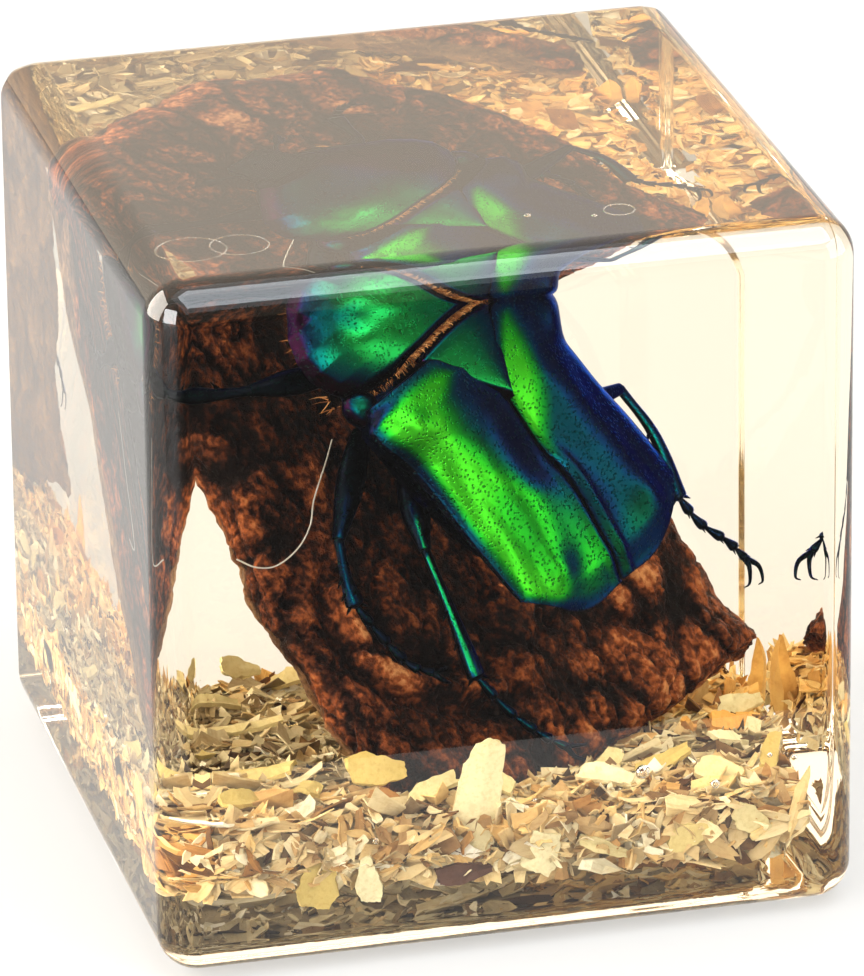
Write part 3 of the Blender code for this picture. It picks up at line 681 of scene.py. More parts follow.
# Air bubbles: place in the cube and radius, in millimetres.
BUBBLES = (
    ((7.9, -20.2, 9.9), 0.45),
    ((12.3, -20.2, 8.6), 0.30),
    ((2.9, -13.9, 42.2), 0.22),
    ((6.6, -15.0, 42.2), 0.18),
    ((-8.2, -20.0, 7.4), 0.20),
    ((15.8, -19.2, 9.8), 0.16),
    ((17.6, -17.5, 9.0), 0.18),
    ((-18.6, -6.5, 15.2), 0.16),
    ((1.4, -19.9, 8.8), 0.12),
    ((9.6, 17.2, 24.0), 0.14),
)
# Faint ring flaws under the top face: place, radii along X and Y, and thickness, in millimetres.
RINGS = (
    ((-17.0, -14.2, 42.4), (2.0, 1.9), 0.05),
    ((-14.2, -14.2, 42.4), (1.7, 1.6), 0.05),
    ((8.2, -14.6, 42.4), (0.9, 0.9), 0.05),
)
RING_STEPS = 48
RING_SIDES = 8


def add_ring(shape, centre, radii, thickness):
    """A closed hollow in the shape of a thin hoop that lies flat."""
    hoop = []
    for step in range(RING_STEPS):
        turn = 2 * math.pi * step / RING_STEPS
        outwards = Vector((math.cos(turn), math.sin(turn), 0.0))
        middle = Vector(centre) + Vector((outwards.x * radii[0], outwards.y * radii[1], 0.0))
        for side in range(RING_SIDES):
            roll = 2 * math.pi * side / RING_SIDES
            offset = outwards * math.cos(roll) + Vector((0.0, 0.0, math.sin(roll)))
            hoop.append(shape.verts.new((middle + offset * thickness) * MM))
    for step in range(RING_STEPS):
        for side in range(RING_SIDES):
            after, beside = (step + 1) % RING_STEPS, (side + 1) % RING_SIDES
            corners = ((step, side), (step, beside), (after, beside), (after, side))
            shape.faces.new([hoop[a * RING_SIDES + b] for a, b in corners])


def build_cube():
    """The casting: a box with rounded edges, and closed hollows in it for bubbles and ring flaws."""
    shape = bmesh.new()
    bmesh.ops.create_cube(shape, size=1.0)
    size = CUBE_HIGH - CUBE_LOW
    for vert in shape.verts:
        vert.co = Vector((vert.co.x * size.x, vert.co.y * size.y, (vert.co.z + 0.5) * size.z))
    rounding = shape.edges.layers.float.new("bevel_weight_edge")
    for edge in shape.edges:
        at_back = all(vert.co.y > 0.0 for vert in edge.verts)
        upright = abs(edge.verts[0].co.z - edge.verts[1].co.z) > 0.0
        edge[rounding] = BACK_EDGE_SHARE if at_back and upright else 1.0
    for centre, radius in BUBBLES:
        made = bmesh.ops.create_uvsphere(shape, u_segments=32, v_segments=16, radius=radius * MM)
        for vert in made["verts"]:
            vert.co += Vector(centre) * MM
        faces = {face for vert in made["verts"] for face in vert.link_faces}
        bmesh.ops.reverse_faces(shape, faces=list(faces))
    for centre, radii, thickness in RINGS:
        add_ring(shape, centre, radii, thickness)
    mesh = bpy.data.meshes.new("clear_cube")
    shape.to_mesh(mesh)
    shape.free()
    mesh.shade_smooth()
    mesh.materials.append(clear_resin())
    cube = add_object("clear_cube", mesh)
    rounded = cube.modifiers.new("rounded_edges", "BEVEL")
    rounded.width = EDGE_ROUND
    rounded.segments = EDGE_STEPS
    rounded.limit_method = "WEIGHT"
    even = cube.modifiers.new("flat_faces", "WEIGHTED_NORMAL")
    even.weight = 100
    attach(cube, BODY)
    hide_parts("resin_lower", "resin_upper")


# ---------------------------------------------------------------- beetle

def elytra_width(y):
    """Half width of the closed wing cases: round shoulders, a narrower waist and a full hind part."""
    shoulder = blend(WAIST_WIDTH, SHOULDER_WIDTH, smooth((y + 2.8) / 3.0))
    base_round = 0.9 * smooth((y - 1.0) / 1.1)
    hind = (TAIL_WIDTH - WAIST_WIDTH) * smooth((-5.0 - y) / 4.0)
    return shoulder - base_round + hind


def elytra_ridge(y):
    """Height of the back along the suture."""
    middle = blend(ELYTRA_FRONT_RIDGE, ELYTRA_RIDGE, smooth((-2.5 - y) / 5.5))
    return blend(middle, ELYTRA_TAIL_RIDGE, smooth((-8.0 - y) / 8.2))


def blue_and_painted_shade(side, x, y):
    """How blue a wing case is, partly its own blue and partly painted shade: on the left a disc by the
    suture, on the right all but a strip.
    """
    if side < 0:
        edge = np.interp(y, *np.array(LEFT_DISC_EDGE).T)
        strength = np.interp(y, (-13.0, -8.0), (0.55, 1.05))
        strength = strength * (1.0 - 0.8 * smooth((0.55 - x) / 0.25) * smooth((-3.0 - y) / 2.0))
        tail = 0.8 * smooth((-14.0 - y) / 1.6) * smooth((2.0 - x) / 1.6)
        middle = 0.30 * bump(x, 4.6, 1.1) * bump(y, -9.5, 3.6)
        return np.maximum(strength * smooth((edge - x) / 2.6 + 0.5), np.maximum(tail, middle))
    edge = np.interp(y, *np.array(RIGHT_STRIP_EDGE).T)
    teal = 0.30 * smooth((-11.0 - y) / 4.0)
    return (0.95 - teal) * smooth((x - edge) / 2.0 + 0.5)


def wing_case(side, rows=170, columns=76):
    """One wing case, domed, with its suture, rib, hollows and knobs; side is -1 left and 1 right."""
    share = np.linspace(0.0, 1.0, columns)
    across = (1.0 - (1.0 - share) ** 1.7)[None, :]
    along = np.linspace(0.0, 1.0, rows)[:, None]
    tail = SUTURE_Y + 4.2 * np.maximum(across - 0.10, 0.0) ** 2.4 - 0.3 * np.sin(across * np.pi) ** 2
    base = ELYTRA_BASE_Y - 2.6 * smooth((0.42 - across) / 0.4) + 0.2 * across
    y = blend(tail, base, along)
    x = 0.10 + (elytra_width(y) - 0.10) * across
    margin = ELYTRA_MARGIN + SHOULDER_RISE * smooth((y + 3.0) / 3.0)
    top = blend(margin, elytra_ridge(y), (1.0 - across**3.0) ** 0.60)
    top = top - 0.30 * (1.0 - smooth(across / 0.05)) - 0.9 * smooth((-14.2 - y) / 2.4)
    disc = smooth((-2.6 - y) / 2.5) * smooth((y + 15.2) / 2.5)
    hind_disc = disc * smooth((-7.5 - y) / 3.0)
    # The hollow behind the scutellum, and the raised suture with a hollow beside it.
    top = top - 0.55 * (1.0 - smooth(across / 0.42)) * bump(y, -4.6, 4.2)
    top = top + 0.16 * bump(across, 0.075, 0.035) * smooth((-6.0 - y) / 3.0)
    top = top - 0.10 * bump(across, 0.24, 0.14) * hind_disc
    # The rib along the disc and the groove outside it.
    top = top + 0.10 * bump(across, 0.50, 0.16) * disc
    top = top - 0.10 * bump(across, 0.72, 0.09) * disc
    # The shoulder knob, the tail knob and the fine raised margin.
    top = top + 0.30 * bump(across, 0.80, 0.12) * bump(y, -0.4, 1.5)
    top = top + 0.40 * bump(across, 0.60, 0.16) * bump(y, -13.2, 1.3)
    top = top + 0.10 * bump(across, 0.992, 0.008)
    # Painted shade in a narrow band along the wing case's edges.
    edge = np.minimum(1.0 - across, 1.6 * along)
    rim = 1.0 - smooth(np.minimum(edge, 1.4 * (1.0 - along)) / 0.10)
    upper = np.stack((side * x, y, top), axis=-1)
    lower = np.stack((side * x * 0.86, y + 0.6 * (1.0 - along), np.minimum(top - 0.2, -0.2)), axis=-1)
    return shell(upper, lower, np.maximum(rim, blue_and_painted_shade(side, x, y)))


def shield_dome(s):
    """The shield's height across it, from 0 at its sides, at -1 and 1, to 1 in the middle."""
    return (1.0 - np.abs(s) ** 2.6) ** 0.66


def pronotum(rows=80, columns=110):
    """The shield behind the head: domed, lower along its sides and hind edge, with two dimples."""
    s = np.linspace(-1.0, 1.0, columns)
    s = (np.sin(s * np.pi / 2))[None, :]
    t = np.linspace(0.0, 1.0, rows)[:, None]
    hind = PRONOTUM_HIND_Y - 0.35 * smooth((abs(s) - 0.5) / 0.4) + 0.25 * bump(s, 0.0, 0.4)
    y = blend(hind, PRONOTUM_FRONT_Y, t)
    half = np.interp(y, *np.array(PRONOTUM_HALF_WIDTHS).T)
    fore = smooth((y - 5.2) / 7.0)
    top = blend(0.95 - 0.5 * fore, PRONOTUM_HEIGHT - 2.0 * fore, shield_dome(s))
    top = top - 0.16 * (1.0 - smooth((1.0 - np.abs(s)) / 0.05)) * (1.0 - fore)
    top = top - 0.20 * bump(np.abs(s), 0.55, 0.10) * bump(y, 7.0, 1.0)
    top = top - 0.35 * (1.0 - smooth(t / 0.05))
    # Painted shade in a narrow band along the shield's edges.
    edge = np.minimum(1.0 - np.abs(s), 0.8 * (1.0 - t))
    rim = 1.0 - smooth(edge / 0.09)
    x = half * s + PRONOTUM_LEAN * (y - PRONOTUM_HIND_Y)
    upper = np.stack((x, y, top), axis=-1)
    lower = np.stack((x * 0.80, y, np.minimum(top - 0.3, -1.0)), axis=-1)
    # Painted shade towards the shield's front, its right and its far left side, less a painted highlight on
    # its hind left.
    painted_shade = 0.50 * smooth((y - 6.2) / 2.4) + 0.35 * smooth((x - 0.5) / 3.0)
    painted_shade = painted_shade + 0.25 * smooth((-5.4 - x) / 1.4)
    painted_shade = painted_shade - 0.40 * bump(x, -2.9, 1.5) * bump(y, 4.6, 1.1)
    return shell(upper, lower, np.maximum(rim, painted_shade))


def scutellum(rows=50, columns=40):
    """The long triangle between the wing cases' bases."""
    s = np.linspace(-1.0, 1.0, columns)[None, :]
    back = np.linspace(1.0, 0.0, rows)[:, None]
    half = SCUTELLUM_WIDTH * (1.0 - back**1.3) + 0.06
    y = PRONOTUM_HIND_Y - 0.1 - SCUTELLUM_LENGTH * back - 0.3 * s * s * (1.0 - back)
    border = 1.0 - smooth((1.0 - np.abs(s)) * half / 0.35)
    top = 4.30 - 0.28 * s * s - 0.26 * border
    top = top - 0.5 * smooth((0.07 - back) / 0.07)
    upper = np.stack((half * s, y, top), axis=-1)
    lower = np.stack((half * s, y, np.full_like(top, 2.0)), axis=-1)
    # Painted shade along its border, towards its right and at its base by the shield.
    painted_shade = 0.50 * smooth((s - 0.1) / 0.8) + 0.30 * smooth((0.22 - back) / 0.22)
    return shell(upper, lower, np.maximum(border * 0.6, painted_shade))


def head(rows=30, columns=30):
    """The head plate, bent down, with a raised rim and a low ridge along its middle."""
    s = np.linspace(-1.0, 1.0, columns)[None, :]
    t = np.linspace(0.0, 1.0, rows)[:, None]
    y = blend(PRONOTUM_FRONT_Y - 1.2, HEAD_FRONT_Y, t)
    half = HEAD_WIDTH * (1.0 - 0.14 * t) * (1.0 - 0.25 * smooth((t - 0.85) / 0.15))
    top = blend(1.7, -1.1, t**1.3) - 0.5 * s * s
    top = top + 0.20 * bump(np.maximum(np.abs(s), t), 0.94, 0.06)
    top = top + 0.16 * bump(s, 0.0, 0.2) * smooth((0.7 - t) / 0.5)
    x = HEAD_ASIDE + half * s
    upper = np.stack((x, y + 0 * s, top), axis=-1)
    lower = np.stack((x, y - 0.5 * t + 0 * s, np.minimum(top - 0.5, blend(-1.4, -2.2, t))), axis=-1)
    # Painted shade towards the head plate's sides.
    return shell(upper, lower, smooth((np.abs(s) - 0.7) / 0.3))


def trunk(rows=150, sides=72):
    """The underside: a chest with two seams, and a belly whose rings each narrow towards the tail."""
    y = np.linspace(-15.4, 9.8, rows)
    turn = np.linspace(0.0, 2 * np.pi, sides, endpoint=False)
    ends = np.sqrt(np.clip(1.0 - ((y + 2.8) / 12.7) ** 2, 0.0, 1.0))
    ring = ((-y - 3.0) / 2.2) % 1.0
    groove = 1.0 - 0.035 * smooth((ring - 0.75) / 0.25) * smooth((-3.4 - y) / 0.5)
    seam = 1.0 - 0.05 * (bump(y, 1.2, 0.25) + bump(y, 4.8, 0.25))
    wide = 5.9 * ends**0.8 * groove * seam
    deep = 4.4 * ends**0.9 * groove * seam
    back = 2.3 * ends
    centre = np.stack((0 * y, y, -0.9 + 0 * y), axis=-1)
    circle = np.stack((np.cos(turn), 0 * turn, np.sin(turn)), axis=-1)
    upward = np.where(circle[None, :, 2] > 0.0, back[:, None], deep[:, None])
    sized = np.stack((wide[:, None] + 0 * upward, 0 * upward, upward), axis=-1)
    points = centre[:, None, :] + circle[None, :, :] * sized
    points = np.concatenate((points.reshape(-1, 3), centre[:1], centre[-1:]))
    return points, tube_faces(rows, sides)


# Each leg in beetle millimetres: its route from hip to knee, down the shank to the ankle and along
# the foot, and which way its claws bend.
LEGS = {
    "left_middle": (
        (
            (-4.2, 1.4, -3.9), (-10.8, -2.7, -3.6), (-12.0, -4.9, -4.0), (-12.5, -6.4, -4.3),
            (-12.3, -9.1, -4.7), (-12.0, -11.5, -4.8), (-11.3, -12.9, -4.5),
        ),
        (0.9, -0.5, -0.4),
    ),
    "left_hind": (
        (
            (-4.1, -2.5, -3.6), (-6.9, -6.7, -3.1), (-8.1, -10.9, -3.7), (-9.3, -14.8, -4.3),
            (-8.8, -17.8, -4.8), (-7.9, -20.3, -5.1), (-7.1, -22.0, -5.1),
        ),
        (0.8, -0.9, 0.1),
    ),
    "right_hind": (
        (
            (2.3, -4.5, -2.5), (13.9, -7.3, -5.6), (14.2, -11.0, -6.4), (13.4, -15.0, -7.5),
            (13.9, -17.2, -8.2), (14.9, -19.3, -8.6), (15.25, -20.9, -8.8),
        ),
        (-0.7, -1.5, -0.4),
    ),
    "right_middle": (
        (
            (3.4, 0.4, -4.3), (9.0, -3.0, -4.6), (9.7, -6.0, -5.1), (10.0, -7.9, -5.4),
            (10.2, -10.4, -5.8), (9.6, -12.7, -6.0), (8.7, -14.0, -6.0),
        ),
        (-0.8, -0.6, 0.0),
    ),
    "left_front": (
        (
            (-3.2, 5.3, -3.6), (-7.6, 7.8, -4.8), (-9.1, 8.9, -5.4), (-10.6, 10.1, -5.8),
            (-11.3, 11.8, -6.0), (-11.4, 13.2, -6.0),
        ),
        (0.3, 0.8, 0.2),
    ),
    "right_front": (
        (
            (2.8, 5.6, -3.9), (6.2, 7.7, -3.8), (7.0, 9.0, -4.5), (7.6, 9.8, -5.2),
            (8.9, 10.1, -5.7), (10.1, 9.6, -6.1),
        ),
        (0.7, -0.6, 0.0),
    ),
}
# The knobs at the wing cases' bases, the chest and the eyes: where they are and how big each way.
# Knobs and eyes come in pairs, and the eyes' place across is taken from the head's middle.
KNOB_ACROSS, KNOB_Y, KNOB_Z, KNOB_RADII = 6.7, 2.6, 0.9, (1.1, 1.3, 1.0)
CHEST_PLACE, CHEST_RADII = (-0.3, 6.4, -1.2), (5.6, 5.0, 3.0)
EYE_ACROSS, EYE_Y, EYE_Z, EYE_RADII = 2.2, 11.4, 0.3, (0.8, 0.8, 0.8)
# How many hairs there are along the shield and under the breast.
FRINGE_HAIRS = 420
BREAST_HAIRS = 160
# How much more painted shade a leg has than the others, or painted light where it is below 0.
LEG_PAINTED_SHADES = {"left_front": 0.8, "left_hind": -0.25}
FEMUR_RADII = (0.55, 0.80, 0.92, 0.86, 0.62, 0.40)
SHANK_RADII = (0.36, 0.34, 0.40, 0.48, 0.60, 0.66)
# The shank's steps, and at which of them a thorn stands and on which side.
SHANK_STEPS = 18
SHANK_THORNS = ((8, 1.0), (12, 1.0), (17, 1.0), (17, -1.0))
FOOT_JOINTS = 5
JOINT_STEPS = 6
FOOT_RADII = (0.13, 0.17, 0.22, 0.27, 0.32, 0.34, 0.20)
# The feelers, outwards from the head's middle, along Y and up, and how far the club's leaves fan out.
FEELER_STEM = ((1.5, 12.5, -0.9), (2.4, 13.2, -1.4), (2.9, 13.3, -1.7))
FEELER_CLUB = ((2.8, 13.3, -1.6, 0.0), (3.4, 13.4, -1.9, 1.0), (4.0, 13.5, -2.2, 1.6))
CLUB_RADII = (0.10, 0.20, 0.24, 0.26, 0.26, 0.24, 0.20, 0.10)


def spine(heap, root, way, length, radius):
    """A short tapered thorn."""
    root, way = np.asarray(root), unit(np.asarray(way))
    route = [root - way * radius, root + way * length * 0.5, root + way * length]
    heap.add(*swept(route, (radius, radius * 0.65, radius * 0.15), sides=6), 0.5)


def add_leg(heap, route, claw_bend, dark=0.0):
    """A spindle femur, a toothed shank with spurs, a foot of five cup-shaped joints and two claws."""
    hip, knee = (np.array(point) for point in route[:2])
    # dark is this leg's painted shade, or painted light where it is below 0.
    thigh = np.interp(np.linspace(0, 5, 16), range(6), FEMUR_RADII)
    heap.add(*swept(through((hip, (hip + knee) / 2, knee), 16), thigh, sides=18, flat=0.8), dark)
    shank = through(route[1:4], SHANK_STEPS)
    radii = np.interp(np.linspace(0, 5, SHANK_STEPS), range(6), SHANK_RADII)
    heap.add(*swept(shank, radii, sides=14, flat=0.75), dark)
    ahead = unit(shank[-1] - shank[-4])
    aside = unit(np.cross(ahead, (0.2, 0.1, 1.0)))
    for step, turn in SHANK_THORNS:
        outward = aside * turn + ahead * 0.7
        spine(heap, shank[step] + aside * turn * 0.35, outward, 0.75, 0.17)
    foot = through(route[3:], FOOT_JOINTS * JOINT_STEPS + 1)
    for joint in range(FOOT_JOINTS):
        part = foot[joint * JOINT_STEPS : (joint + 1) * JOINT_STEPS + 1]
        slim = 1.0 if joint < FOOT_JOINTS - 1 else 0.85
        heap.add(*swept(part, np.array(FOOT_RADII) * slim, sides=10), 0.2 + dark)
        way = unit(part[-1] - part[-3])
        across = unit(np.cross(way, (0.1, 0.3, 1.0)))
        for side in (-1.0, 1.0):
            spine(heap, part[-2] + across * side * 0.2, way + across * side * 0.6, 0.42, 0.09)
    tip, bend = foot[-1], np.array(claw_bend)
    spread = unit(np.cross(bend, (0.0, 0.0, 1.0))) * 0.5
    ahead = unit(foot[-1] - foot[-3]) * np.linalg.norm(bend)
    for side in (-1.0, 1.0):
        hook = (
            tip,
            tip + ahead * 0.45 + side * spread * 0.7,
            tip + ahead * 0.40 + bend * 0.60 + side * spread,
            tip + bend * 1.05 + side * spread * 1.1,
        )
        heap.add(*swept(through(hook, 14), np.linspace(0.21, 0.03, 14), sides=8), 0.4)


def add_feeler(heap, side):
    """A feeler: a short stem and a club of three leaves."""
    stem = [(HEAD_ASIDE + side * outwards, y, z) for outwards, y, z in FEELER_STEM]
    heap.add(*swept(through(stem, 8), 0.16, sides=8), 0.5)
    for leaf in (-0.22, 0.0, 0.22):
        club = [(HEAD_ASIDE + side * out, y + leaf * spread, z) for out, y, z, spread in FEELER_CLUB]
        heap.add(*swept(through(club, 8), CLUB_RADII, sides=8, flat=0.5), 0.5)


def add_hairs(heap, count, place, lean, length, rng):
    """Tapered hairs: place(share) gives each root, lean the way that they point."""
    for _ in range(count):
        root = np.array(place(rng.random()))
        way = unit(np.array(lean) + rng.normal(0.0, 0.35, 3))
        reach = length * rng.uniform(0.6, 1.2)
        sag = np.array((0.0, 0.0, -0.25 * reach))
        route = (root - way * 0.2, root + way * reach * 0.5, root + way * reach + sag)
        heap.add(*swept(route, (0.045, 0.035, 0.008), sides=4), rng.random())


def build_wings():
    wings = Heap(BEETLE_MATRIX)
    for side in (-1, 1):
        wings.add(*wing_case(side))
    finish = chitin("wing_case_green", WING_STOPS, roughness=0.30, pit_scale=4300.0, pit_depth=0.05)
    piece = wings.build("beetle_wing_cases", finish, BEETLE_SHARP, WING_PAINTED_SHEEN)
    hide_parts("beetle")


def build_neck():
    """The shield, the scutellum and the knobs beside them, at the wing cases' bases."""
    front = Heap(BEETLE_MATRIX)
    front.add(*pronotum())
    front.add(*scutellum())
    for side in (-1, 1):
        front.add(*ball((side * KNOB_ACROSS, KNOB_Y, KNOB_Z), KNOB_RADII), 0.35)
    finish = chitin(
        "neck_shield_green", NECK_STOPS, roughness=0.28, pit_scale=5200.0, pit_depth=0.015, unevenness=0.05
    )
    piece = front.build("beetle_neck_shield", finish, BEETLE_SHARP, NECK_PAINTED_SHEEN)
    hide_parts("beetle")


def build_legs_and_belly():
    """The belly, the head with its eyes and feelers, the chest and the legs."""
    under = Heap(BEETLE_MATRIX)
    under.add(*trunk(), 0.3)
    under.add(*head())
    under.add(*ball(CHEST_PLACE, CHEST_RADII, rings=20), 0.3)
    for side in (-1, 1):
        under.add(*ball((HEAD_ASIDE + side * EYE_ACROSS, EYE_Y, EYE_Z), EYE_RADII), 1.0)
        add_feeler(under, side)
    for name, leg in LEGS.items():
        add_leg(under, *leg, LEG_PAINTED_SHADES.get(name, 0.0))
    finish = chitin("leg_blue_black", LEG_STOPS, roughness=0.28, pit_scale=5200.0, pit_depth=0.02)
    piece = under.build("beetle_legs_and_belly", finish, 40.0, LEG_PAINTED_SHEEN)
    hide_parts("beetle")


def build_hairs():
    """The fringe along the shield's hind margin, and the hairs under the breast."""
    rng = np.random.default_rng(11)
    hairs = Heap(BEETLE_MATRIX)

    def hind_margin(share):
        x = blend(-5.9, 5.9, share)
        return (x, PRONOTUM_HIND_Y + 0.1, blend(0.9, PRONOTUM_HEIGHT, shield_dome(x / 6.1)) - 0.7)

    def breast(share):
        return (blend(-4.5, 4.5, share), blend(3.0, 9.0, (share * 7.3) % 1.0), -4.3)

    add_hairs(hairs, FRINGE_HAIRS, hind_margin, (0.0, -0.8, 0.5), 0.75, rng)
    add_hairs(hairs, BREAST_HAIRS, breast, (0.0, 0.2, -1.0), 0.8, rng)
    piece = hairs.build("beetle_hairs", dry_plant("brown_hair", HAIR_STOPS))
    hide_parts("beetle")


# ---------------------------------------------------------------- bark

# The curled strip of inner bark: points on its crest across and up the plank, in millimetres.
STRIP_CREST = (
    (-9.6, 1.6), (-10.6, -0.1), (-11.0, -2.2), (-10.3, -4.0), (-8.8, -5.9), (-6.8, -7.6), (-5.0, -8.6),
)
# Rounded lumps on the plank's face: place, radius and height, in millimetres.
BARK_LUMPS = (
    ((1.0, -13.2), 2.0, 0.9),
    ((3.2, -15.6), 1.6, 0.8),
    ((6.8, -14.6), 2.1, 0.8),
    ((-2.3, -8.6), 1.6, 0.5),
    ((-3.5, -13.0), 1.4, 0.5),
    ((9.5, -8.0), 2.0, 0.5),
    ((-12.5, 9.0), 2.2, 0.5),
    ((-6.0, 21.0), 3.0, 0.7),
    ((4.0, 22.5), 2.6, 0.6),
)
# Small holes in its face: place and radius, in millimetres, and how deep they are.
KNOT_HOLES = (
    ((2.1, -7.0), 0.7), ((7.0, -3.5), 0.5), ((8.4, -10.6), 0.45), ((-13.0, 3.0), 0.6), ((10.8, -5.4), 0.35),
)
KNOT_DEPTH = 0.9
# The patterns of its surface: size in millimetres, seed, and how much longer than wide they are.
PLATES = (4.2, 3.0, 1.7)
SMALL_CRACKS = (1.7, 7.0, 1.8)
BROAD_WAVES = (5.5, 1.0, 1.3)
LONG_FIBRES = (0.9, 5.0, 3.0)
FINE_GRAIN = (0.42, 9.0, 1.3)
CRACK_WIDTH = 0.14
# How far below and above the solid's rounded face the surface may go, in millimetres.
BARK_DEPTH, BARK_RISE = -1.3, 0.9
BARK_SUBDIVISIONS = 3
# The lower right corner: where it is pulled from, how wide about it and how far, in millimetres.
CORNER_PLACE = (12.6, -15.6)
CORNER_SIZE = (4.0, 3.2)
CORNER_PULL = (2.1, 0.2, 0.6)


def field(points, size, seed, stretch):
    """Smooth noise at many points (mm), about -1 to 1, drawn out along Y."""
    scaled = points / np.array((size, size * stretch, size)) + (seed, -seed, 2.0 * seed)
    return np.array([noise.noise(Vector(place)) for place in scaled])


def cracked(points, pattern):
    """0 along a net of narrow cracks and 1 away from them."""
    return smooth(np.abs(field(points, *pattern)) / CRACK_WIDTH)


def near_place(points, place, radius):
    """A round hump of height 1 at a place across and up the plank."""
    u, v = place
    return np.exp(-(((points[:, 0] - u) ** 2 + (points[:, 1] - v) ** 2) / radius**2))


def distance_to_route(points, route):
    """How far points are, across and up the plank, from the nearest stretch of a route."""
    flat = np.array(route)
    nearest = np.full(len(points), 99.0)
    for start, end in zip(flat[:-1], flat[1:]):
        step = end - start
        share = np.clip(((points[:, :2] - start) @ step) / (step @ step), 0.0, 1.0)
        nearest = np.minimum(nearest, np.linalg.norm(points[:, :2] - start - share[:, None] * step, axis=1))
    return nearest


def subdivided(source, matrix, levels):
    """A copy of a solid's mesh in another frame, rounded and cut finer."""
    rough = source.copy()
    rough.transform(matrix)
    carrier = add_object("carrier", rough)
    weld = carrier.modifiers.new("weld", "WELD")
    weld.merge_threshold = 0.0001 * MM
    finer = carrier.modifiers.new("finer", "SUBSURF")
    finer.levels = finer.render_levels = levels
    graph = bpy.context.evaluated_depsgraph_get()
    mesh = bpy.data.meshes.new_from_object(carrier.evaluated_get(graph))
    bpy.data.objects.remove(carrier)
    return mesh


def pulled_corner(points):
    """How far points near the plank's lower right corner are drawn out to the side."""
    near = np.exp(-(((points[:, :2] - CORNER_PLACE) / CORNER_SIZE) ** 2).sum(axis=1))
    return near[:, None] * CORNER_PULL


def build_bark():
    """The plank's solid, rounded and then worked over: plates, fibres, cracks, lumps and a strip."""
    mesh = subdivided(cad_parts["bark"].data, BARK_MATRIX.inverted(), BARK_SUBDIVISIONS)
    points = np.zeros(len(mesh.vertices) * 3)
    mesh.vertices.foreach_get("co", points)
    points = points.reshape(-1, 3) / MM
    normals = point_normals(mesh)
    points += pulled_corner(points)
    plates = cracked(points, PLATES)
    small_cracks = cracked(points, SMALL_CRACKS)
    fibres = field(points, *LONG_FIBRES)
    fine = field(points, *FINE_GRAIN)
    height = 0.22 * field(points, *BROAD_WAVES) + 0.34 * (plates - 1.0) + 0.22 * (small_cracks - 1.0)
    height = height + 0.14 * fibres + 0.16 * fine
    front = smooth((normals[:, 2] - 0.2) / 0.5)
    strip = distance_to_route(points, STRIP_CREST)
    crest = np.exp(-((strip / 0.75) ** 2)) * front
    height += 1.0 * crest - 0.55 * np.exp(-(((strip - 1.4) / 0.5) ** 2)) * front
    lump_share = np.zeros(len(points))
    for place, radius, tall in BARK_LUMPS:
        near = near_place(points, place, radius) * front
        height += tall * near * (0.8 + 0.4 * fine)
        lump_share = np.maximum(lump_share, near)
    for place, radius in KNOT_HOLES:
        height -= KNOT_DEPTH * near_place(points, place, radius) * front
    points += normals * np.clip(height, BARK_DEPTH, BARK_RISE)[:, None]
    mesh.vertices.foreach_set("co", (points * MM).ravel().astype(np.float32))
    # Painted light on the plank's sides.
    edge = 1.0 - smooth((np.abs(normals[:, 2]) - 0.2) / 0.5)
    # The tint: painted shade in the cracks and low places, painted light on what stands out, the strip, the
    # lumps and the sides.
    relief_and_painted_light = 0.42 + 0.32 * height + 0.30 * fibres + 0.12 * fine
    relief_and_painted_light = relief_and_painted_light + 0.42 * crest + 0.26 * lump_share + 0.26 * edge
    relief_and_painted_light = relief_and_painted_light - 0.55 * (1.0 - plates) - 0.40 * (1.0 - small_cracks)
    # Painted shade: the bark darker towards its left, above its lower end.
    painted_left_shade = 0.16 * smooth((4.0 - points[:, 0]) / 8.0) * smooth((points[:, 1] + 14.0) / 6.0)
    store(mesh, "tint", np.clip(relief_and_painted_light - painted_left_shade, 0.0, 1.0))
    store(mesh, "own", points * MM)
    # On the bark this attribute marks the pale inner wood on the plank's back, not light.
    store(mesh, "warm_light_and_wood", smooth((-0.15 - normals[:, 2]) / 0.5))
    piece = finish_piece("bark_plank", mesh, BARK_MATRIX, bark_finish(), 60.0)
    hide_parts("bark")


# ---------------------------------------------------------------- litter

# Each part of the litter: how many flakes, how far they lift off the bed (mm), how much they lean.
LITTER_PARTS = {
    "litter_on_top": (4500, (-0.15, 0.70), 0.20),
    "litter_round_sides": (2600, (-0.10, 1.00), 0.40),
    "litter_underneath": (1500, (-0.10, 0.45), 0.16),
}
# How far up or down the bed's triangles face that count as its top or its underside.
LEVEL_ENOUGH = 0.55
FLAKE_ROWS, FLAKE_COLUMNS = 4, 3
# The usual length of a flake (mm) and its spread, and the same for its tint.
FLAKE_LENGTHS = (1.55, 0.42)
FLAKE_TINTS = (0.50, 0.26)
# The room that the flakes keep to, in millimetres.
LITTER_LOW = (-19.8, -20.0, 2.9)
LITTER_HIGH = (20.4, 20.6, 40.0)
# How far right the litter reaches along Y: it keeps off the wall at the front.
RIGHT_REACH = ((-20.0, 18.2), (-8.0, 18.4), (2.0, 20.4))
# How much less far the bed's foot reaches there, in millimetres.
RIGHT_FOOT_STEP = 1.5
# How much the bed's underside rises towards the left, in millimetres.
UNDERSIDE_RISE = 1.5


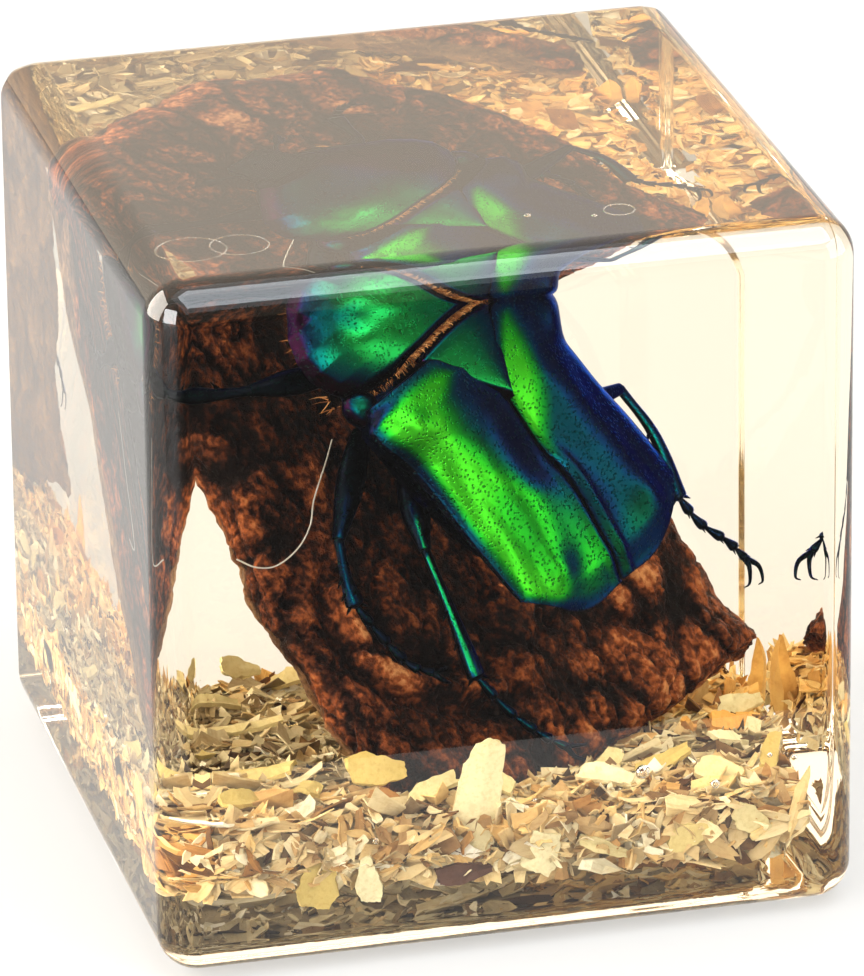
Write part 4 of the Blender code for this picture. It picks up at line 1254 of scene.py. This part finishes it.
def flake(length, width, thickness, rng):
    """A torn, bowed and twisted flake round the origin, along X."""
    s = np.linspace(-1.0, 1.0, FLAKE_ROWS)[:, None]
    t = np.linspace(-1.0, 1.0, FLAKE_COLUMNS)[None, :]
    taper = 1.0 - rng.uniform(0.0, 0.75) * np.abs(s) ** rng.uniform(1.0, 3.0)
    torn = 1.0 + rng.uniform(-0.3, 0.3, (FLAKE_ROWS, 1)) * np.sign(t)
    x = length / 2 * (s + rng.uniform(-0.22, 0.22, (1, FLAKE_COLUMNS)) * np.abs(s))
    y = width / 2 * t * taper * torn
    bow, cup = rng.normal(0.0, 0.12 * length), rng.normal(0.0, 0.22 * width)
    z = bow * s * s + cup * t * t + rng.normal(0.0, 0.35) * width * s * t * 0.5
    upper = np.stack((x, y, z + thickness / 2), axis=-1)
    lower = np.stack((x, y, z - thickness / 2), axis=-1)
    return slab(upper, lower)


def turn_to(normal, spin):
    """Rows of the turn that carries +Z onto a normal and then spins about it."""
    helper = np.array((1.0, 0.0, 0.0)) if abs(normal[0]) < 0.8 else np.array((0.0, 1.0, 0.0))
    first = unit(np.cross(normal, helper))
    second = np.cross(normal, first)
    along = first * math.cos(spin) + second * math.sin(spin)
    return np.stack((along, np.cross(normal, along), normal))


def keep_in(points):
    """Points of the litter, held off the walls and lifted where the bed's underside rises."""
    points = np.clip(points, LITTER_LOW, LITTER_HIGH)
    foot = RIGHT_FOOT_STEP * smooth((5.2 - points[:, 2]) / 1.2) * smooth((9.0 - points[:, 1]) / 4.0)
    points[:, 0] = np.minimum(points[:, 0], np.interp(points[:, 1], *np.array(RIGHT_REACH).T) - foot)
    lift = UNDERSIDE_RISE * smooth((16.0 - points[:, 0]) / 34.0) * smooth((6.5 - points[:, 2]) / 2.8)
    return points + lift[:, None] * (0.0, 0.0, 1.0)


def painted_warm_light(place):
    """How golden a flake is painted by painted warm light: most at the right back and along the left and
    back walls, where the light comes in.
    """
    right_back = smooth((place[0] - 1.0) / 8.0) * smooth((place[1] + 6.0) / 12.0)
    left_wall = smooth((-17.3 - place[0]) / 1.0)
    back_wall = smooth((place[1] - 18.0) / 1.5)
    front = 0.45 * smooth((-6.0 - place[1]) / 8.0)
    return 0.05 + 0.80 * max(right_back, left_wall, back_wall, front)


def bed_places():
    """The bed's triangles: their corners (mm), normals and areas."""
    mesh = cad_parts["litter_bed"].data
    mesh.calc_loop_triangles()
    corners = np.array([[mesh.vertices[v].co for v in tri.vertices] for tri in mesh.loop_triangles]) / MM
    crossed = np.cross(corners[:, 1] - corners[:, 0], corners[:, 2] - corners[:, 0])
    areas = np.linalg.norm(crossed, axis=1) / 2
    return corners, unit(crossed), areas


def scatter(heap, corners, normals, areas, count, lift, lean, rng):
    """Flakes at random places on these triangles, more or less flat on them."""
    usual_length, spread = FLAKE_LENGTHS
    picks = rng.choice(len(areas), size=count, p=areas / areas.sum())
    for pick in picks:
        a, b = rng.random(2)
        if a + b > 1.0:
            a, b = 1.0 - a, 1.0 - b
        start, second, third = corners[pick]
        place = start + (second - start) * a + (third - start) * b
        normal = unit(normals[pick] + rng.normal(0.0, lean, 3))
        length = float(np.clip(rng.lognormal(math.log(usual_length), spread), 0.6, 5.0))
        width = length * rng.uniform(0.18, 0.62)
        points, faces = flake(length, width, rng.uniform(0.06, 0.14), rng)
        placed = points @ turn_to(normal, rng.uniform(0, 2 * math.pi))
        placed = placed + place + normals[pick] * rng.uniform(*lift)
        own = points[:, (1, 0, 2)] + rng.uniform(-40.0, 40.0, 3)
        warm_light_and_wood = float(np.clip(painted_warm_light(place) + rng.normal(0.0, 0.18), 0.0, 1.0))
        tint = float(np.clip(rng.normal(*FLAKE_TINTS), 0.0, 1.0))
        heap.add(keep_in(placed), faces, tint, own, warm_light_and_wood)


def build_litter():
    rng = np.random.default_rng(23)
    corners, normals, areas = bed_places()
    # The golden colours are painted warm light on the flakes.
    finish = dry_plant("chopped_litter", LITTER_STOPS, GOLDEN_STOPS)
    up = normals[:, 2]
    masks = (up > LEVEL_ENOUGH, np.abs(up) <= LEVEL_ENOUGH, up < -LEVEL_ENOUGH)
    for mask, (name, (count, lift, lean)) in zip(masks, LITTER_PARTS.items()):
        heap = Heap()
        scatter(heap, corners[mask], normals[mask], areas[mask], count, lift, lean, rng)
        heap.build(name, finish, sharp=30.0)
    bed = Heap()
    points, faces = refined_bit("litter_bed", rng)
    bed.add(keep_in(points), faces, 0.3)
    piece = bed.build("packed_litter", dry_plant("packed_litter", LITTER_STOPS[:4], dark=0.3))
    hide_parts("litter_bed")


# The loose bits that are solids of their own, by finish, with its colours.
BITS = {
    "pale_chip": (
        PALE_STOPS,
        (
            "tall_chip", "pale_chip_left", "pale_chip_crossed", "pale_chip_middle", "pale_chip_right",
            "corner_chip", "right_chip", "cream_curl", "back_flake_tall", "back_flake_low",
            "left_flake_back", "left_flake_middle", "notched_flake", "square_flake", "slip_flake",
            "torn_flake",
        ),
    ),
    "yellow_chip": (
        YELLOW_STOPS,
        (
            "yellow_leaf", "olive_chip", "right_strip", "left_flake_wall", "left_flake_front",
            "leaf_corner", "flat_flake", "fan_flake", "oval_flake",
        ),
    ),
    "orange_chip": (ORANGE_STOPS, ("orange_chip", "orange_splinter")),
    "dark_seed": (SEED_STOPS, ("dark_seed",)),
    "husk": (GOLDEN_STOPS, ("seed_husk",)),
}
# The husk's swelling, its shift to the right and how far right it may reach, in millimetres.
HUSK_SWELL = (1.5, 1.2)
HUSK_SHIFT = 0.8
HUSK_REACH = 20.85


def refined_bit(node, rng):
    """A node's solid, cut finer and roughened, as points in millimetres and faces."""
    shape = bmesh.new()
    shape.from_mesh(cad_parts[node].data)
    bmesh.ops.remove_doubles(shape, verts=shape.verts, dist=0.001 * MM)
    bmesh.ops.subdivide_edges(shape, edges=shape.edges, cuts=4, use_grid_fill=True)
    bmesh.ops.triangulate(shape, faces=shape.faces)
    points = np.array([vert.co for vert in shape.verts]) / MM
    centre = points.mean(axis=0)
    seed = rng.uniform(0.0, 40.0)
    for vert, place in zip(shape.verts, points):
        away = Vector(unit(place - centre))
        rough = noise.noise(Vector(place * 2.4 + seed)) * 0.16
        rough += noise.noise(Vector(place * 6.0 - seed)) * 0.07
        vert.co += (away * rough) * MM
    points, faces = taken_from(shape)
    return points / MM, faces


def pointed(points):
    """A husk's form: a slim bulging leaf with its point up, shifted close to the wall."""
    low, high = points.min(axis=0), points.max(axis=0)
    share = (points[:, 2] - low[2]) / (high[2] - low[2])
    width = np.sin(np.pi * np.clip(0.12 + 0.88 * share, 0.0, 1.0)) ** 0.8 + 0.06
    middle = (low + high) / 2
    flat = middle[:2] + (points[:, :2] - middle[:2]) * width[:, None] * HUSK_SWELL
    return np.column_stack((np.minimum(flat[:, 0] + HUSK_SHIFT, HUSK_REACH), flat[:, 1], points[:, 2]))


def build_bits():
    rng = np.random.default_rng(5)
    for slot, (stops, nodes) in BITS.items():
        heap = Heap()
        for node in nodes:
            points, faces = refined_bit(node, rng)
            if slot == "husk":
                points = pointed(points)
            heap.add(points, faces, rng.uniform(0.25, 0.85))
        finish = dry_plant(slot + "_skin", stops, roughness=0.55, vein=0.25)
        piece = heap.build("loose_" + slot, finish, sharp=50.0)
        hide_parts(*nodes)


# ---------------------------------------------------------------- fibre

# The pale fibre: points across and up the bark and above its face, and its radius, in millimetres.
FIBRE = (
    (-5.1, 9.9, 1.6), (-6.5, 8.9, 1.5), (-8.7, 7.4, 1.3), (-10.0, 6.2, 1.2), (-11.8, 5.4, 1.2),
    (-14.0, 5.2, 1.3), (-15.3, 5.8, 1.2), (-16.0, 6.9, 1.0),
)
FIBRE_RADIUS = 0.05


def build_fibre():
    heap = Heap(BARK_MATRIX)
    heap.add(*swept(through(FIBRE, 80), FIBRE_RADIUS, sides=8), 0.8)
    heap.build("pale_fibre", dry_plant("pale_fibre", FIBRE_STOPS, vein=0.1))


# ---------------------------------------------------------------- studio

# The camera's place in metres, the way it looks, its roll and its focal length in millimetres.
CAMERA_PLACE = (-0.11782, -0.47614, 0.22093)
CAMERA_AHEAD = (0.22328, 0.89846, -0.37805)
CAMERA_ROLL = math.radians(-0.68)
CAMERA_LENS = 326.1
# How far the floor lies under the cube, half its width, and how far in front of the cube's middle
# the black card on it ends, in metres.
FLOOR_GAP = 0.0003
FLOOR_REACH = 1.2
CARD_EDGE = 0.05
FLOOR_COLOUR = (0.14, 0.14, 0.14, 1.0)
FLOOR_GLOW = (1.0, 0.985, 0.95, 1.0)
FLOOR_GLOW_STRENGTH = 0.50
# The studio's colour, the way that it is brightest, its light there and opposite, and how far
# towards that way it starts to brighten and is at its full light.
STUDIO_COLOUR = (1.0, 0.87, 0.72, 1.0)
BRIGHTEST_SIDE = (-0.45, 0.80, 0.30)
BACK_LIGHT = 1.75
FRONT_LIGHT = 0.45
LIGHT_STARTS, LIGHT_FULL = -0.5, 0.7
# The overhead light is three squares in one place, so that its edge is soft: the size and watts of
# each. Sizes and distances are in metres.
OVERHEAD_WAY = (0.22, -0.38, 0.90)
OVERHEAD_DISTANCE = 0.7
OVERHEAD_COLOUR = (0.86, 0.93, 1.0)
OVERHEAD_SQUARES = ((0.30, 1.8), (0.55, 7.2), (0.95, 3.0))
# The other lights: the way to each, its distance, size, watts and colour.
OTHER_LIGHTS = {
    "left": ((-0.88, 0.20, 0.42), 0.6, 0.6, 14.0, (1.0, 0.93, 0.84)),
    "front_left": ((-0.70, -0.62, 0.30), 0.8, 0.5, 12.0, (1.0, 1.0, 1.0)),
    "front_right": ((0.85, -0.48, 0.22), 0.8, 0.8, 7.0, (1.0, 1.0, 1.0)),
}


def add_camera():
    lens = bpy.data.cameras.new("camera")
    lens.lens = CAMERA_LENS
    lens.clip_start = 0.01
    camera = add_object("camera", lens)
    aim = Vector(CAMERA_AHEAD).to_track_quat("-Z", "Y").to_matrix().to_4x4()
    camera.matrix_world = Matrix.Translation(CAMERA_PLACE) @ aim @ Matrix.Rotation(CAMERA_ROLL, 4, "Z")
    bpy.context.scene.camera = camera


def flat_sheet(name, half_size, place, finish):
    shape = bmesh.new()
    bmesh.ops.create_grid(shape, x_segments=1, y_segments=1, size=half_size)
    mesh = bpy.data.meshes.new(name)
    shape.to_mesh(mesh)
    shape.free()
    mesh.materials.append(finish)
    made = add_object(name, mesh)
    made.location = place
    return made


def add_floor():
    """A pale floor, and a black card over its front that only reflections see."""
    paint, _, shader = new_material("floor_paint")
    shader.inputs["Base Color"].default_value = FLOOR_COLOUR
    shader.inputs["Roughness"].default_value = 0.9
    shader.inputs["Emission Color"].default_value = FLOOR_GLOW
    shader.inputs["Emission Strength"].default_value = FLOOR_GLOW_STRENGTH
    flat_sheet("floor", FLOOR_REACH, (0.0, 0.0, -FLOOR_GAP), paint)
    black, _, shader = new_material("black_card")
    shader.inputs["Base Color"].default_value = (0.0, 0.0, 0.0, 1.0)
    card = flat_sheet("black_card", FLOOR_REACH, (0.0, -FLOOR_REACH - CARD_EDGE, -FLOOR_GAP / 3), black)
    card.visible_camera = card.visible_diffuse = False
    card.visible_transmission = card.visible_shadow = False


def add_surroundings():
    """A warm white studio, bright behind the cube and dim behind the camera, but even in the view."""
    studio = bpy.data.worlds.new("studio")
    bpy.context.scene.world = studio
    studio.use_nodes = True
    tree = studio.node_tree
    sky = tree.nodes["Background"]
    sky.inputs["Color"].default_value = STUDIO_COLOUR
    way = add_node(tree, "TexCoord").outputs["Generated"]
    facing = add_node(
        tree, "VectorMath", [(0, way), (1, Vector(BRIGHTEST_SIDE).normalized())], operation="DOT_PRODUCT"
    ).outputs["Value"]
    light = eased(tree, facing, LIGHT_STARTS, LIGHT_FULL, FRONT_LIGHT, BACK_LIGHT)
    seen = add_node(tree, "LightPath").outputs["Is Camera Ray"]
    chosen = add_node(tree, "Mix", [(0, seen), (2, light), (3, 1.0)], data_type="FLOAT")
    tree.links.new(chosen.outputs[0], sky.inputs["Strength"])


def add_softbox(name, way, distance, size, watts, colour):
    """A square light that way from the cube's foot, turned towards it."""
    light = bpy.data.lights.new(name, "AREA")
    light.size = size
    light.energy = watts
    light.color = colour
    lamp = add_object(name, light)
    way = Vector(way).normalized()
    lamp.location = way * distance
    lamp.rotation_euler = way.to_track_quat("Z", "Y").to_euler()


def add_lights():
    for size, watts in OVERHEAD_SQUARES:
        add_softbox(f"overhead_{size}", OVERHEAD_WAY, OVERHEAD_DISTANCE, size, watts, OVERHEAD_COLOUR)
    for name, values in OTHER_LIGHTS.items():
        add_softbox(name, *values)


def set_view():
    """Plain colours, and enough bounces for light to cross the cube's faces many times."""
    scene = bpy.context.scene
    scene.view_settings.view_transform = "Standard"
    scene.cycles.max_bounces = 24
    scene.cycles.transmission_bounces = 24
    scene.cycles.glossy_bounces = 8
    scene.cycles.diffuse_bounces = 4


def main():
    build_cube()
    build_wings()
    build_neck()
    build_legs_and_belly()
    build_hairs()
    build_bark()
    build_litter()
    build_bits()
    build_fibre()
    add_camera()
    add_floor()
    add_surroundings()
    add_lights()
    set_view()


main()
